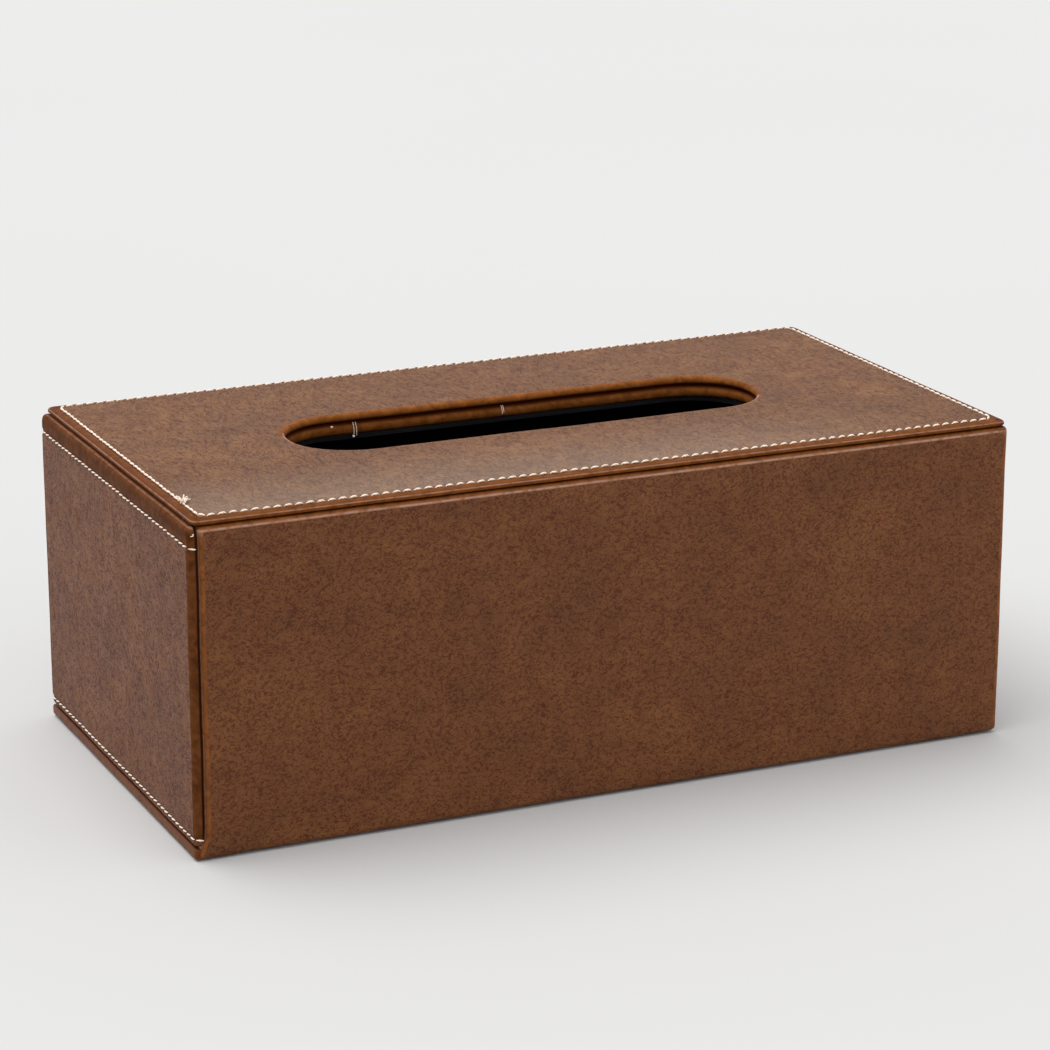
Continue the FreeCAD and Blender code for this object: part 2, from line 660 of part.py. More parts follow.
def make_tray():
    full_y = both_sides(TRAY_BOARD_HALF_Y)
    wall_z = (TRAY_FLOOR, TRAY_BOARD_TOP)
    inside_y = both_sides(TRAY_INSIDE_HALF_Y)
    add_board("tray_floor_board", (FRONT_BACK_X, TRAY_BOARD_END_X), full_y, (DRAWER_BOTTOM, TRAY_FLOOR))
    add_board("tray_front_board", (FRONT_BACK_X, TRAY_INSIDE_X[0]), full_y, wall_z)
    add_board("tray_back_board", (TRAY_INSIDE_X[1], TRAY_BOARD_END_X), full_y, wall_z)
    add_board("tray_near_side_board", TRAY_INSIDE_X, (-TRAY_BOARD_HALF_Y, -TRAY_INSIDE_HALF_Y), wall_z)
    add_board("tray_far_side_board", TRAY_INSIDE_X, (TRAY_INSIDE_HALF_Y, TRAY_BOARD_HALF_Y), wall_z)
    lining_top = TRAY_FLOOR + LINING
    add_board("tray_floor_lining", TRAY_INSIDE_X, inside_y, (TRAY_FLOOR, lining_top))

    lined_x = (TRAY_INSIDE_X[0] + LINING, TRAY_INSIDE_X[1] - LINING)
    lined_y = both_sides(TRAY_INSIDE_HALF_Y - LINING)
    body = add_body("tray_wall_lining")
    sketch = add_sketch(body, "XY_Plane", lining_top)
    draw_rectangle(sketch, TRAY_INSIDE_X, inside_y)
    draw_rectangle(sketch, lined_x, lined_y)
    add_pad(body, sketch, TRAY_BOARD_TOP - lining_top)

    # cover on the two sides and the back, and over the top edges all round
    body = add_body("tray_cover")
    sketch = add_sketch(body, "XY_Plane", DRAWER_BOTTOM)
    draw_rectangle(sketch, (FRONT_BACK_X, TRAY_END_X), both_sides(TRAY_HALF_Y))
    add_pad(body, sketch, size["tray_height"])
    sketch = add_sketch(body, "XY_Plane", TRAY_BOARD_TOP)
    draw_rectangle(sketch, (FRONT_BACK_X, TRAY_BOARD_END_X), full_y)
    add_pocket(body, sketch, TRAY_BOARD_TOP - DRAWER_BOTTOM)
    sketch = add_sketch(body, "XY_Plane", TRAY_TOP)
    draw_rectangle(sketch, lined_x, lined_y)
    add_pocket(body, sketch, TRAY_COVER)


# ---------------------------------------------------------------- build, test and write

NODES = [
    "underside_felt", "base_board", "base_leather", "floor_lining",
    "front_board", "front_leather", "front_lining", "back_board", "back_leather", "back_lining",
    "end_board", "end_leather", "end_lining",
    "inner_top_board", "inner_top_leather", "inner_top_lining",
    "lid_backing", "lid_board", "lid_leather", "lid_stitching",
    "drawer_front_board", "drawer_front_leather", "drawer_front_backing",
    "drawer_front_upper_stitching", "drawer_front_lower_stitching",
    "tray_floor_board", "tray_front_board", "tray_back_board",
    "tray_near_side_board", "tray_far_side_board",
    "tray_floor_lining", "tray_wall_lining", "tray_cover",
]


def write_nodes():
    doc.recompute()
    for item in doc.Objects:
        if "Invalid" in item.State or "Error" in item.State:
            raise RuntimeError(f"{item.Name} failed: {item.State}")
    os.makedirs("parts", exist_ok=True)
    for name in NODES:
        shape = doc.getObject(name).Shape
        if shape.isNull() or not shape.isValid() or not shape.Solids:
            raise RuntimeError(f"{name} has no valid solid")
        shape.exportStep(os.path.join("parts", f"{name}.step"))
        box = shape.BoundBox
        print(f"{name}: {len(shape.Solids)} solids, {shape.Volume:.1f} mm3, "
              f"x {box.XMin:.2f}..{box.XMax:.2f} y {box.YMin:.2f}..{box.YMax:.2f} "
              f"z {box.ZMin:.2f}..{box.ZMax:.2f}")


make_base()
make_long_walls()
make_end_wall()
make_inner_top()
make_lid()
make_lid_stitching()
make_drawer_front()
make_drawer_front_stitching()
make_tray()
write_nodes()
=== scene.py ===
"""A brown leatherette tissue box. Its left end draws out as a shallow tray.

The wrapped covers, the linings, the stitching and its loose threads are modelled here, round the packed
boards and cards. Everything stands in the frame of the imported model, in metres: X runs along the box to its
fixed end, Y from front to back, Z up.
"""

import math
import random
from contextlib import contextmanager
from functools import partial

import bmesh
import bpy
from bpy.props import FloatProperty, FloatVectorProperty, PointerProperty
from mathutils import Matrix, Vector


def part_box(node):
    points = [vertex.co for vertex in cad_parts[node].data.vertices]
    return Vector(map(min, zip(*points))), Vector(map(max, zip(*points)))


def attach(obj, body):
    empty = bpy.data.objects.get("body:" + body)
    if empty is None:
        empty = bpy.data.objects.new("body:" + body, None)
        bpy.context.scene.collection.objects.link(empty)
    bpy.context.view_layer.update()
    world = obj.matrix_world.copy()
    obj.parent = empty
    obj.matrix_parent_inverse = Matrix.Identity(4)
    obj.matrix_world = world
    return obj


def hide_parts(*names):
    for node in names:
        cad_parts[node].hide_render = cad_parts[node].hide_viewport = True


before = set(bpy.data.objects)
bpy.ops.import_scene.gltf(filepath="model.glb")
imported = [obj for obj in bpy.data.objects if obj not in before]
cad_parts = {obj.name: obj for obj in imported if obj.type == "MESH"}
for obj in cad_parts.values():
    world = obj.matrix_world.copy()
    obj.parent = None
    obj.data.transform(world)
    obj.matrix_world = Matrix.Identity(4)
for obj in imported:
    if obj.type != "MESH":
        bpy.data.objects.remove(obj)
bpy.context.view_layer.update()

bl_info = {
    "name": "Leatherette tissue box with drawer",
    "version": (1, 0, 0),
    "blender": (4, 5, 0),
    "location": "3D View > Sidebar > Tissue box",
    "description": "Covers, linings, stitching and finishes for a tissue box with a drawer in its end",
    "category": "Object",
}

MM = 0.001
X, Y, Z = 0, 1, 2
SLOT_SPANS = ((-71.6 * MM, 74.3 * MM), (-18.4 * MM, 18.4 * MM))
NOISE, CELLS, MIX = "ShaderNodeTexNoise", "ShaderNodeTexVoronoi", "ShaderNodeMix"
MATH, RANGE, BUMP = "ShaderNodeMath", "ShaderNodeMapRange", "ShaderNodeBump"
BULK = {"From Min": 0.3, "From Max": 0.7}   # where most of a noise's values lie


# ---------------------------------------------------------------- colours and sizes

def colour(hex_code):
    """An sRGB hex value as linear red, green and blue."""
    channels = [int(hex_code[i:i + 2], 16) / 255 for i in (1, 3, 5)]
    return [c / 12.92 if c <= 0.04045 else ((c + 0.055) / 1.055) ** 2.4 for c in channels]


def length(name, description, millimetres):
    return FloatProperty(name=name, description=description, default=millimetres * MM,
                         min=0.0, unit="LENGTH", subtype="DISTANCE")


def tint(name, description, hex_code):
    return FloatVectorProperty(name=name, description=description, default=colour(hex_code),
                               size=3, min=0.0, max=1.0, subtype="COLOR")


class TissueBoxSizes(bpy.types.PropertyGroup):
    """Sizes that the covers and stitches are made to."""

    skin: length("Leatherette", "Thickness of the leatherette", 0.6)
    wall_roll: length("Wall roll", "Radius of the long walls' wrapped edges", 1.6)
    end_roll: length("End roll", "Radius of the end wall's wrapped edges", 1.0)
    front_roll: length("Drawer front roll", "Radius round the drawer front's face", 1.85)
    front_corner: length("Drawer front corner", "Corner radius of the drawer front's outline", 2.5)
    front_back_roll: length("Front back roll", "Radius of the drawer front's back edge", 0.9)
    lid_roll: length("Lid roll", "Radius of the lid panel's upper edge", 0.75)
    lid_corner: length("Lid corner", "Corner radius of the lid panel's outline", 2.1)
    lid_slope: length("Lid slope", "How far the lid falls away outside its stitches", 0.5)
    slot_roll: length("Slot roll", "Radius of the lid's edge round the slot", 1.2)
    slot_turn: length("Slot turn", "How far the lid's cover reaches below the lid in the slot", 0.65)
    collar_roll: length("Collar roll", "Radius of the inner top's edge round the slot", 1.85)
    slot_corner: length("Slot corner", "Corner radius of the tissue slot", 17.0)
    stitch_inset: length("Stitch inset", "From the lid's edge to its stitch line", 3.0)
    stitch_pitch: length("Stitch pitch", "From one stitch to the next", 3.1)
    stitch_length: length("Stitch length", "Length of thread in sight at one stitch", 2.65)
    thread: length("Thread", "Thickness of the sewing thread", 0.7)
    channel: length("Channel", "How far a seam pulls the leatherette in", 0.35)
    sway: length("Sway", "How far a glued cover swells and sinks", 0.35)
    grid: length("Grid", "Spacing of the mesh across a cover", 3.0)


class TissueBoxColours(bpy.types.PropertyGroup):
    """Colours of the finishes."""

    leather_dark: tint("Leatherette, dark", "Sunk, dark patches of the mottling", "#522C12")
    leather_mid: tint("Leatherette", "The leatherette's middle brown", "#643817")
    leather_light: tint("Leatherette, light", "Rubbed, light patches of the mottling", "#75451D")
    leather_red: tint("Leatherette, reddish", "Patches where the brown turns redder", "#6B351C")
    # The edge colours are deeper than the faces: partly the pulled leatherette's own colour, and partly
    # painted shade where the rolls catch less sheen.
    wall_edge: tint("Wall edge", "Leatherette pulled over the walls' edges", "#784318")
    lid_edge: tint("Lid edge", "Leatherette pulled over the lid's edge and the slot's", "#78451C")
    end_edge: tint("End edge", "Leatherette pulled over the drawer front's edge", "#593218")
    # Painted highlight: the pale colour laid on rolls and ridges where they catch the light.
    rubbed: tint("Rubbed ridge", "Ridges that are polished light", "#B08C7A")
    thread_light: tint("Thread", "The upper side of the thread", "#F6E8D8")
    thread_dark: tint("Thread, shaded", "Between the thread's plies", "#C29A7C")
    board_light: tint("Fibreboard", "Raw fibreboard", "#B59468")
    board_dark: tint("Fibreboard, dark", "Darker fibres in the board", "#8A6A45")
    card: tint("Card", "Black card", "#141313")
    lining: tint("Lining", "Black flocked lining", "#09090C")
    black_cover: tint("Tray cover", "Black leatherette of the tray", "#171514")
    felt: tint("Felt", "Pressed felt under the box", "#16161A")
    # Painted sheen: the pale colour laid towards the lid's front edge.
    painted_sheen: tint("Haze", "The dry, pale sheen towards the lid's front edge", "#B2A595")
    floor: tint("Floor", "The pale studio floor", "#C0BFBE")


def sizes():
    return bpy.context.scene.tissue_box_sizes


def colours():
    return bpy.context.scene.tissue_box_colours


# ---------------------------------------------------------------- modelling helpers

def add_primitive(adder, name, scale=(1, 1, 1), **settings):
    """A primitive of its own at its size and place, with nothing else selected."""
    bpy.ops.object.select_all(action="DESELECT")
    adder(**settings)
    piece = bpy.context.object
    piece.name = piece.data.name = name
    piece.scale = scale
    bpy.ops.object.transform_apply(location=True, rotation=True, scale=True)
    return piece


def take(piece):
    """Makes one piece the only one selected, and the active one."""
    bpy.ops.object.select_all(action="DESELECT")
    piece.select_set(True)
    bpy.context.view_layer.objects.active = piece


@contextmanager
def editing(piece):
    """Edit mode on one piece alone."""
    take(piece)
    bpy.ops.object.mode_set(mode="EDIT")
    yield
    bpy.ops.object.mode_set(mode="OBJECT")


def pick(piece, kind, test):
    """Selects the vertices, edges or faces that pass the test."""
    bpy.ops.mesh.select_mode(type=kind)
    bpy.ops.mesh.select_all(action="DESELECT")
    mesh = bmesh.from_edit_mesh(piece.data)
    mesh.normal_update()
    elements = {"VERT": mesh.verts, "EDGE": mesh.edges, "FACE": mesh.faces}[kind]
    found = [element for element in elements if test(element)]
    if not found:
        raise RuntimeError(f"{piece.name}: nothing to select")
    for element in found:
        element.select_set(True)
    mesh.select_flush_mode()
    bmesh.update_edit_mesh(piece.data)


def points_of(element):
    return [element.co] if isinstance(element, bmesh.types.BMVert) else [v.co for v in element.verts]


def at(axis, value, tolerance=0.01 * MM):
    """A test for elements that lie wholly on one level of an axis."""
    return lambda element: all(abs(point[axis] - value) < tolerance for point in points_of(element))


def is_rim(edge):
    return len(edge.link_faces) == 1


def is_corner(edge):
    """An edge where two faces turn by more than 40 degrees."""
    return len(edge.link_faces) == 2 and edge.calc_face_angle(0.0) > math.radians(40)


def runs_along(edge, axis):
    run = edge.verts[1].co - edge.verts[0].co
    return abs(run[axis]) > 0.999999 * run.length


def along(axis, value):
    """A vector of one value along one axis."""
    vector = Vector((0, 0, 0))
    vector[axis] = value
    return vector


def score(piece, axis, levels):
    """Cuts lines across the whole piece, square to an axis."""
    for level in levels:
        bpy.ops.mesh.select_all(action="SELECT")
        bpy.ops.mesh.bisect(plane_co=along(axis, level), plane_no=along(axis, 1), use_fill=False,
                            threshold=0.001 * MM)


def steps(low, high, spacing):
    """Even levels between two ends, about a spacing apart."""
    count = max(1, round((high - low) / spacing))
    return [low + (high - low) * i / count for i in range(1, count)]


def move(offset, reach=0.0):
    """Moves what is selected, with a soft falloff over a reach."""
    if reach:
        bpy.ops.transform.translate(value=offset, use_proportional_edit=True,
                                    proportional_edit_falloff="SMOOTH", proportional_size=reach)
    else:
        bpy.ops.transform.translate(value=offset)


def flatten(axis, level):
    """Brings what is selected to one level of an axis."""
    bpy.ops.transform.resize(value=Vector((1, 1, 1)) - along(axis, 1), center_override=along(axis, level))


def extrude(offset):
    bpy.ops.mesh.extrude_region_move(TRANSFORM_OT_translate={"value": offset})


def face_out(piece, outward=None):
    """Turns every face outward. An open sheet is told which way its farthest faces look."""
    bpy.ops.mesh.select_all(action="SELECT")
    bpy.ops.mesh.normals_make_consistent(inside=False)
    if outward is None:
        return
    mesh = bmesh.from_edit_mesh(piece.data)
    mesh.normal_update()
    farthest = max(mesh.faces, key=lambda face: face.calc_center_median().dot(outward))
    if farthest.normal.dot(outward) < 0:
        bpy.ops.mesh.flip_normals()


def apply_modifier(piece, kind, **settings):
    modifier = piece.modifiers.new(kind.title(), kind)
    for name, value in settings.items():
        setattr(modifier, name, value)
    take(piece)
    bpy.ops.object.modifier_apply(modifier=modifier.name)


def sway_texture():
    """Slow swells of glued leatherette, the same for every cover, so that neighbours move together."""
    name = "cover_sway"
    found = bpy.data.textures.get(name)
    if found:
        return found
    texture = bpy.data.textures.new(name, "CLOUDS")
    texture.noise_scale = 26 * MM
    texture.noise_depth = 1
    texture.cloud_type = "COLOR"
    return texture


def drape(piece, outward, thickness, strength=1.0):
    """Gives a sheet, whose face looks outward, its hand-glued unevenness and its thickness."""
    with editing(piece):
        bpy.ops.mesh.select_all(action="SELECT")
        bpy.ops.mesh.remove_doubles(threshold=0.03 * MM)
        face_out(piece, Vector(outward))
    apply_modifier(piece, "DISPLACE", texture=sway_texture(), texture_coords="LOCAL",
                   direction="RGB_TO_XYZ", mid_level=0.5, strength=sizes().sway * strength)
    apply_modifier(piece, "SOLIDIFY", thickness=thickness, offset=-1.0)


def mark_points(piece, **amounts):
    """Stores amounts at each point, each worked out from the point's place and normal."""
    for name, amount in amounts.items():
        values = [float(amount(vertex.co, vertex.normal)) for vertex in piece.data.vertices]
        piece.data.attributes.new(name, "FLOAT", "POINT").data.foreach_set("value", values)


def fade(value, start, end):
    """0 at the start and 1 at the end, with a straight rise between."""
    return min(1.0, max(0.0, (value - start) / (end - start)))


def join(name, parts):
    bpy.ops.object.select_all(action="DESELECT")
    for part in parts:
        part.select_set(True)
    bpy.context.view_layer.objects.active = parts[0]
    bpy.ops.object.join()
    piece = bpy.context.object
    piece.name = piece.data.name = name
    return piece


def finish_piece(piece, body, materials, nodes=(), angle=50, is_edge=None):
    """Shades, dresses and hands over a piece. A second material goes on the faces that is_edge picks."""
    take(piece)
    bpy.ops.object.shade_smooth_by_angle(angle=math.radians(angle))
    piece.data.materials.clear()
    for material in materials:
        piece.data.materials.append(finish(material))
    if is_edge:
        with editing(piece):
            pick(piece, "FACE", lambda face: is_edge(face.calc_center_median()))
            piece.active_material_index = 1
            bpy.ops.object.material_slot_assign()
    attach(piece, body)
    if nodes:
        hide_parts(*nodes)


def border(spans, margin):
    """A test for points within a margin of a panel's outline, given as its span on each of two axes."""
    return lambda point: not all(low + margin < point[axis] < high - margin
                                 for axis, (low, high) in spans.items())


def slot_distance(point):
    """How far a point is from the slot's rounded outline, seen from above, and negative inside."""
    corner = sizes().slot_corner
    past = [max(low + corner - value, value - high + corner, 0.0)
            for value, (low, high) in zip(point, SLOT_SPANS)]
    return math.hypot(*past) - corner


# ---------------------------------------------------------------- materials

def add_node(tree, kind, inputs=(), **settings):
    """Adds a node, sets or links its inputs, named by identifier, and gives its first output in use."""
    node = tree.nodes.new(kind)
    for name, value in settings.items():
        setattr(node, name, value)
    sockets = {socket.identifier: socket for socket in node.inputs}
    for name, value in dict(inputs).items():
        if isinstance(value, bpy.types.NodeSocket):
            tree.links.new(value, sockets[name])
        else:
            sockets[name].default_value = value
    return next((socket for socket in node.outputs if socket.enabled), None)


def start_material(name):
    """A new material with an empty tree, a way to add to the tree, and Object coordinates in millimetres."""
    material = bpy.data.materials.new(name)
    material.use_nodes = True
    tree = material.node_tree
    tree.nodes.clear()
    coordinates = tree.nodes.new("ShaderNodeTexCoord").outputs["Object"]
    add = partial(add_node, tree)
    place = add("ShaderNodeVectorMath", {"Vector": coordinates, "Scale": 1 / MM}, operation="SCALE")
    return material, add, place


def solid(rgb):
    """A colour as a socket takes it."""
    return (*rgb, 1.0)


def leatherette(name, offset, stretch, grain, emboss, crease_turn, crease_stretch, crease, mottling,
                tone=(1, 1, 1), painted_sheen=0.0):
    """Polyurethane leatherette, embossed with a fine uneven pebble and hand-antiqued.

    The eye sees a wavy pebble of about a millimetre with darker valleys, short creases that run one way, and
    soft patches a few millimetres to a few centimetres across that turn redder or yellower. grain, crease and
    mottling say how strong each one is, and emboss how deep the pebble is in millimetres. A stretch of 2
    draws the pebble twice as long along that axis. tone tints the whole, and on the lid's material lightens
    and greys it as a painted sheen. The last argument says how strong a pale painted sheen lies towards the
    box's front.
    """
    material, add, on_piece = start_material(name)
    palette = colours()
    place = add("ShaderNodeMapping", {"Vector": on_piece, "Location": offset})

    clouds = add(NOISE, {"Vector": place, "Scale": 1 / 24, "Detail": 2.0, "Distortion": 0.5})
    patches = add(NOISE, {"Vector": place, "Scale": 1 / 5.5, "Detail": 3.0, "Roughness": 0.6,
                          "Distortion": 0.8})
    mottle = add(MIX, {"Factor_Float": 0.45, "A_Float": clouds, "B_Float": patches})
    half = 0.16 / mottling
    low = add(RANGE, {"Value": mottle, "From Min": 0.5 - half, "From Max": 0.5})
    high = add(RANGE, {"Value": mottle, "From Min": 0.5, "From Max": 0.5 + half})
    blush = add(NOISE, {"Vector": place, "Scale": 1 / 4.3, "Detail": 3.0, "Roughness": 0.6,
                        "Distortion": 0.3})
    blush = add(RANGE, {"Value": blush, "From Min": 0.45, "From Max": 0.7, "To Max": 0.3})
    base = solid(palette.leather_dark)
    for share, hue in ((low, palette.leather_mid), (high, palette.leather_light),
                       (blush, palette.leather_red)):
        base = add(MIX, {"Factor_Float": share, "A_Color": base, "B_Color": solid(hue)}, data_type="RGBA")

    drawn = add("ShaderNodeMapping", {"Vector": place, "Scale": [1 / s for s in stretch]})
    pebble = add(NOISE, {"Vector": drawn, "Scale": 1 / 0.72, "Detail": 1.6, "Distortion": 1.5})
    lines = add(NOISE, {"Vector": drawn, "Scale": 1 / 1.5, "Detail": 1.0, "Distortion": 0.7})
    lines = add(MATH, {"Value": lines, "Value_001": 0.5}, operation="SUBTRACT")
    lines = add(MATH, {"Value": lines}, operation="ABSOLUTE")
    net = add(RANGE, {"Value": lines, "From Min": 0.0, "From Max": 0.06})
    height = add(MIX, {"Factor_Float": 0.2, "A_Float": pebble, "B_Float": net})
    height = add(MATH, {"Value": height, "Value_001": 0.56}, operation="SUBTRACT")

    turned = add("ShaderNodeMapping", {"Vector": place, "Rotation": crease_turn})
    turned = add("ShaderNodeMapping", {"Vector": turned, "Scale": [1 / s for s in crease_stretch]})
    waves = add(NOISE, {"Vector": turned, "Scale": 1.0, "Detail": 2.0, "Distortion": 0.6})
    groups = add(NOISE, {"Vector": place, "Scale": 1 / 7, "Detail": 2.0})
    groups = add(RANGE, {"Value": groups, "From Min": 0.4, "From Max": 0.62, "To Min": 0.35 * crease,
                         "To Max": crease})
    folds = add(MATH, {"Value": waves, "Value_001": 0.5}, operation="SUBTRACT")
    folds = add(MATH, {"Value": folds, "Value_001": groups}, operation="MULTIPLY")

    relief = add(MATH, {"Value": height, "Value_001": 1.0, "Value_002": folds}, operation="MULTIPLY_ADD")
    # Valleys darker and ridges lighter: the antiqued pebble's own colour, deepened by painted shade in the
    # valleys and greyed by a painted sheen on the ridges.
    shade = add(RANGE, {"Value": relief, "From Min": -0.15, "From Max": 0.07},
                interpolation_type="SMOOTHSTEP")
    contrast = (0.6 * grain, grain, 1.5 * grain)
    valley = [t * max(0.0, 1 - 1.15 * c) for t, c in zip(tone, contrast)]
    ridge = [t * (1 + 0.66 * c) for t, c in zip(tone, contrast)]
    shade = add(MIX, {"Factor_Float": shade, "A_Color": solid(valley), "B_Color": solid(ridge)},
                data_type="RGBA")
    base = add(MIX, {"Factor_Float": 1.0, "A_Color": base, "B_Color": shade}, data_type="RGBA",
               blend_type="MULTIPLY")
    # Painted sheen: a pale greyish tint that grows towards the lid's front edge and fades towards its right
    # end.
    if painted_sheen:
        spot = add("ShaderNodeSeparateXYZ", {"Vector": on_piece}).node
        front = add(RANGE, {"Value": spot.outputs["Y"], "From Min": -25.0, "From Max": -60.0, "To Max": painted_sheen})
        front = add(RANGE, {"Value": spot.outputs["X"], "From Min": 35.0, "From Max": 105.0,
                            "To Min": front, "To Max": 0.0})
        base = add(MIX, {"Factor_Float": front, "A_Color": base, "B_Color": solid(palette.painted_sheen)},
                   data_type="RGBA")
    rough = add(RANGE, {**BULK, "Value": patches, "To Min": 0.6, "To Max": 0.48})
    bump = add(BUMP, {"Height": relief, "Distance": emboss * MM})
    shader = add("ShaderNodeBsdfPrincipled", {"Base Color": base, "Roughness": rough, "Normal": bump,
                                              "IOR": 1.33})
    add("ShaderNodeOutputMaterial", {"Surface": shader})
    return material


def pulled_leatherette(name, hue, gloss):
    """Leatherette pulled tight over an edge, so that its pebble is stretched flat. Its deeper colour is
    partly the pulled leatherette's own and partly painted shade, where a roll catches less sheen.

    The eye sees soft darker and lighter streaks a few millimetres long, a painted highlight on thin ridges
    and rolls where they catch the light, painted shade in the folds, gaps and hollows, and a sheen as strong
    as gloss says.
    """
    material, add, place = start_material(name)
    streaks = add(NOISE, {"Vector": place, "Scale": 1 / 3.2, "Detail": 4.0, "Roughness": 0.65,
                          "Distortion": 0.7})
    worn = add(NOISE, {"Vector": place, "Scale": 1 / 2.0, "Detail": 3.0, "Roughness": 0.6})
    darker = [c * 0.62 for c in hue]
    lighter = [min(1.0, c * 1.3 + 0.004) for c in hue]
    low = add(RANGE, {"Value": streaks, "From Min": 0.32, "From Max": 0.5})
    high = add(RANGE, {"Value": streaks, "From Min": 0.5, "From Max": 0.68})
    # Painted shade: a near-black brown laid where a cover lies in shade, in gaps, under the lid's edge and in
    # the slot.
    dyed = [c * share for c, share in zip(hue, (0.28, 0.16, 0.06))]
    dye, rub = (add("ShaderNodeAttribute", attribute_name=mark).node.outputs["Fac"]
                for mark in ("dye", "rub"))
    # The painted highlight is broken up by a noise, which also sets the roughness.
    broken = add(RANGE, {"Value": worn, "From Min": 0.3, "From Max": 0.55, "To Min": 0.25, "To Max": 0.9})
    rub = add(MATH, {"Value": rub, "Value_001": broken}, operation="MULTIPLY")
    base = solid(darker)
    for share, coat in ((low, hue), (high, lighter), (dye, dyed), (rub, colours().rubbed)):
        base = add(MIX, {"Factor_Float": share, "A_Color": base, "B_Color": solid(coat)}, data_type="RGBA")
    rough = add(RANGE, {**BULK, "Value": worn, "To Min": 0.5, "To Max": 0.36})
    bump = add(BUMP, {"Height": streaks, "Distance": 0.12 * MM})
    shader = add("ShaderNodeBsdfPrincipled", {"Base Color": base, "Roughness": rough, "Normal": bump,
                                              "IOR": 1.33, "Specular IOR Level": gloss})
    add("ShaderNodeOutputMaterial", {"Surface": shader})
    return material


def thread_material(name):
    """Waxed polyester thread, twisted from plies: pale, slightly glossy, with darker lines between them."""
    material, add, place = start_material(name)
    palette = colours()
    twist = add("ShaderNodeTexWave", {"Vector": place, "Scale": 0.55, "Distortion": 1.5},
                bands_direction="DIAGONAL").node.outputs["Fac"]
    worn = add(NOISE, {"Vector": place, "Scale": 1 / 5, "Detail": 3.0})
    plies = add(RANGE, {"Value": twist, "From Min": 0.1, "From Max": 0.5, "To Min": 0.5, "To Max": 0.0})
    dull = add(RANGE, {"Value": worn, "From Min": 0.45, "From Max": 0.8, "To Max": 0.4})
    base, dark = solid(palette.thread_light), solid(palette.thread_dark)
    for share in (plies, dull):
        base = add(MIX, {"Factor_Float": share, "A_Color": base, "B_Color": dark}, data_type="RGBA")
    rough = add(RANGE, {**BULK, "Value": worn, "To Min": 0.45, "To Max": 0.65})
    bump = add(BUMP, {"Height": twist, "Distance": 0.05 * MM})
    shader = add("ShaderNodeBsdfPrincipled", {"Base Color": base, "Roughness": rough, "Normal": bump})
    add("ShaderNodeOutputMaterial", {"Surface": shader})
    return material


def fibre_stock(name, dark, light, fibre_mm, stretch, matt):
    """Pressed or matted fibres: raw fibreboard, or black card with a faint tooth that catches a little light.

    The eye sees short fibres that lie mostly flat, lighter and darker, with a few dark specks.
    """
    material, add, place = start_material(name)
    drawn = add("ShaderNodeMapping", {"Vector": place, "Scale": [1 / s for s in stretch]})
    fibres = add(NOISE, {"Vector": drawn, "Scale": 1 / fibre_mm, "Detail": 4.0, "Roughness": 0.65})
    specks = add(NOISE, {"Vector": place, "Scale": 1 / 0.9, "Detail": 1.0})
    tone = add(RANGE, {"Value": fibres, "From Min": 0.3, "From Max": 0.72})
    dots = add(RANGE, {"Value": specks, "From Min": 0.62, "From Max": 0.72})
    base = solid(dark)
    for share, hue in ((tone, light), (dots, dark)):
        base = add(MIX, {"Factor_Float": share, "A_Color": base, "B_Color": solid(hue)}, data_type="RGBA")
    rough = add(RANGE, {**BULK, "Value": fibres, "To Min": matt, "To Max": matt - 0.15})
    bump = add(BUMP, {"Height": fibres, "Distance": 0.04 * MM})
    shader = add("ShaderNodeBsdfPrincipled", {"Base Color": base, "Roughness": rough, "Normal": bump})
    add("ShaderNodeOutputMaterial", {"Surface": shader})
    return material


def flock(name, hue, fibre_mm):
    """Short nylon pile: near black, with a dusty nap that turns slightly blue at a low angle."""
    material, add, place = start_material(name)
    pile = add(NOISE, {"Vector": place, "Scale": 1 / fibre_mm, "Detail": 3.0, "Roughness": 0.7})
    nap = add(NOISE, {"Vector": place, "Scale": 1 / 14, "Detail": 3.0, "Roughness": 0.6, "Distortion": 0.8})
    lighter = [c * 2.2 + 0.003 for c in hue]
    tufts = add(RANGE, {"Value": pile, "From Min": 0.42, "From Max": 0.75})
    brushed = add(RANGE, {"Value": nap, "From Min": 0.4, "From Max": 0.7, "To Max": 0.45})
    base = solid(hue)
    for share in (tufts, brushed):
        base = add(MIX, {"Factor_Float": share, "A_Color": base, "B_Color": solid(lighter)}, data_type="RGBA")
    rough = add(RANGE, {**BULK, "Value": nap, "To Min": 0.95, "To Max": 0.8})
    bump = add(BUMP, {"Height": pile, "Distance": 0.15 * MM})
    shader = add("ShaderNodeBsdfPrincipled", {"Base Color": base, "Roughness": rough, "Normal": bump,
                                              "Specular IOR Level": 0.25, "Sheen Weight": 0.08,
                                              "Sheen Roughness": 0.4, "Sheen Tint": (0.55, 0.6, 0.8, 1.0)})
    add("ShaderNodeOutputMaterial", {"Surface": shader})
    return material


def black_leatherette(name):
    """Thin black leatherette on the tray: a fine even pebble with a soft shine."""
    material, add, place = start_material(name)
    hue = colours().black_cover
    cells = add(CELLS, {"Vector": place, "Scale": 1 / 0.9}, feature="SMOOTH_F1")
    wear = add(NOISE, {"Vector": place, "Scale": 1 / 8, "Detail": 4.0, "Roughness": 0.6})
    tone = add(RANGE, {"Value": wear, "From Min": 0.4, "From Max": 0.75})
    lighter = [c * 2 + 0.003 for c in hue]
    base = add(MIX, {"Factor_Float": tone, "A_Color": solid(hue), "B_Color": solid(lighter)},
               data_type="RGBA")
    rough = add(RANGE, {**BULK, "Value": wear, "To Min": 0.55, "To Max": 0.42})
    bump = add(BUMP, {"Height": cells, "Distance": 0.12 * MM}, invert=True)
    shader = add("ShaderNodeBsdfPrincipled", {"Base Color": base, "Roughness": rough, "Normal": bump})
    add("ShaderNodeOutputMaterial", {"Surface": shader})
    return material


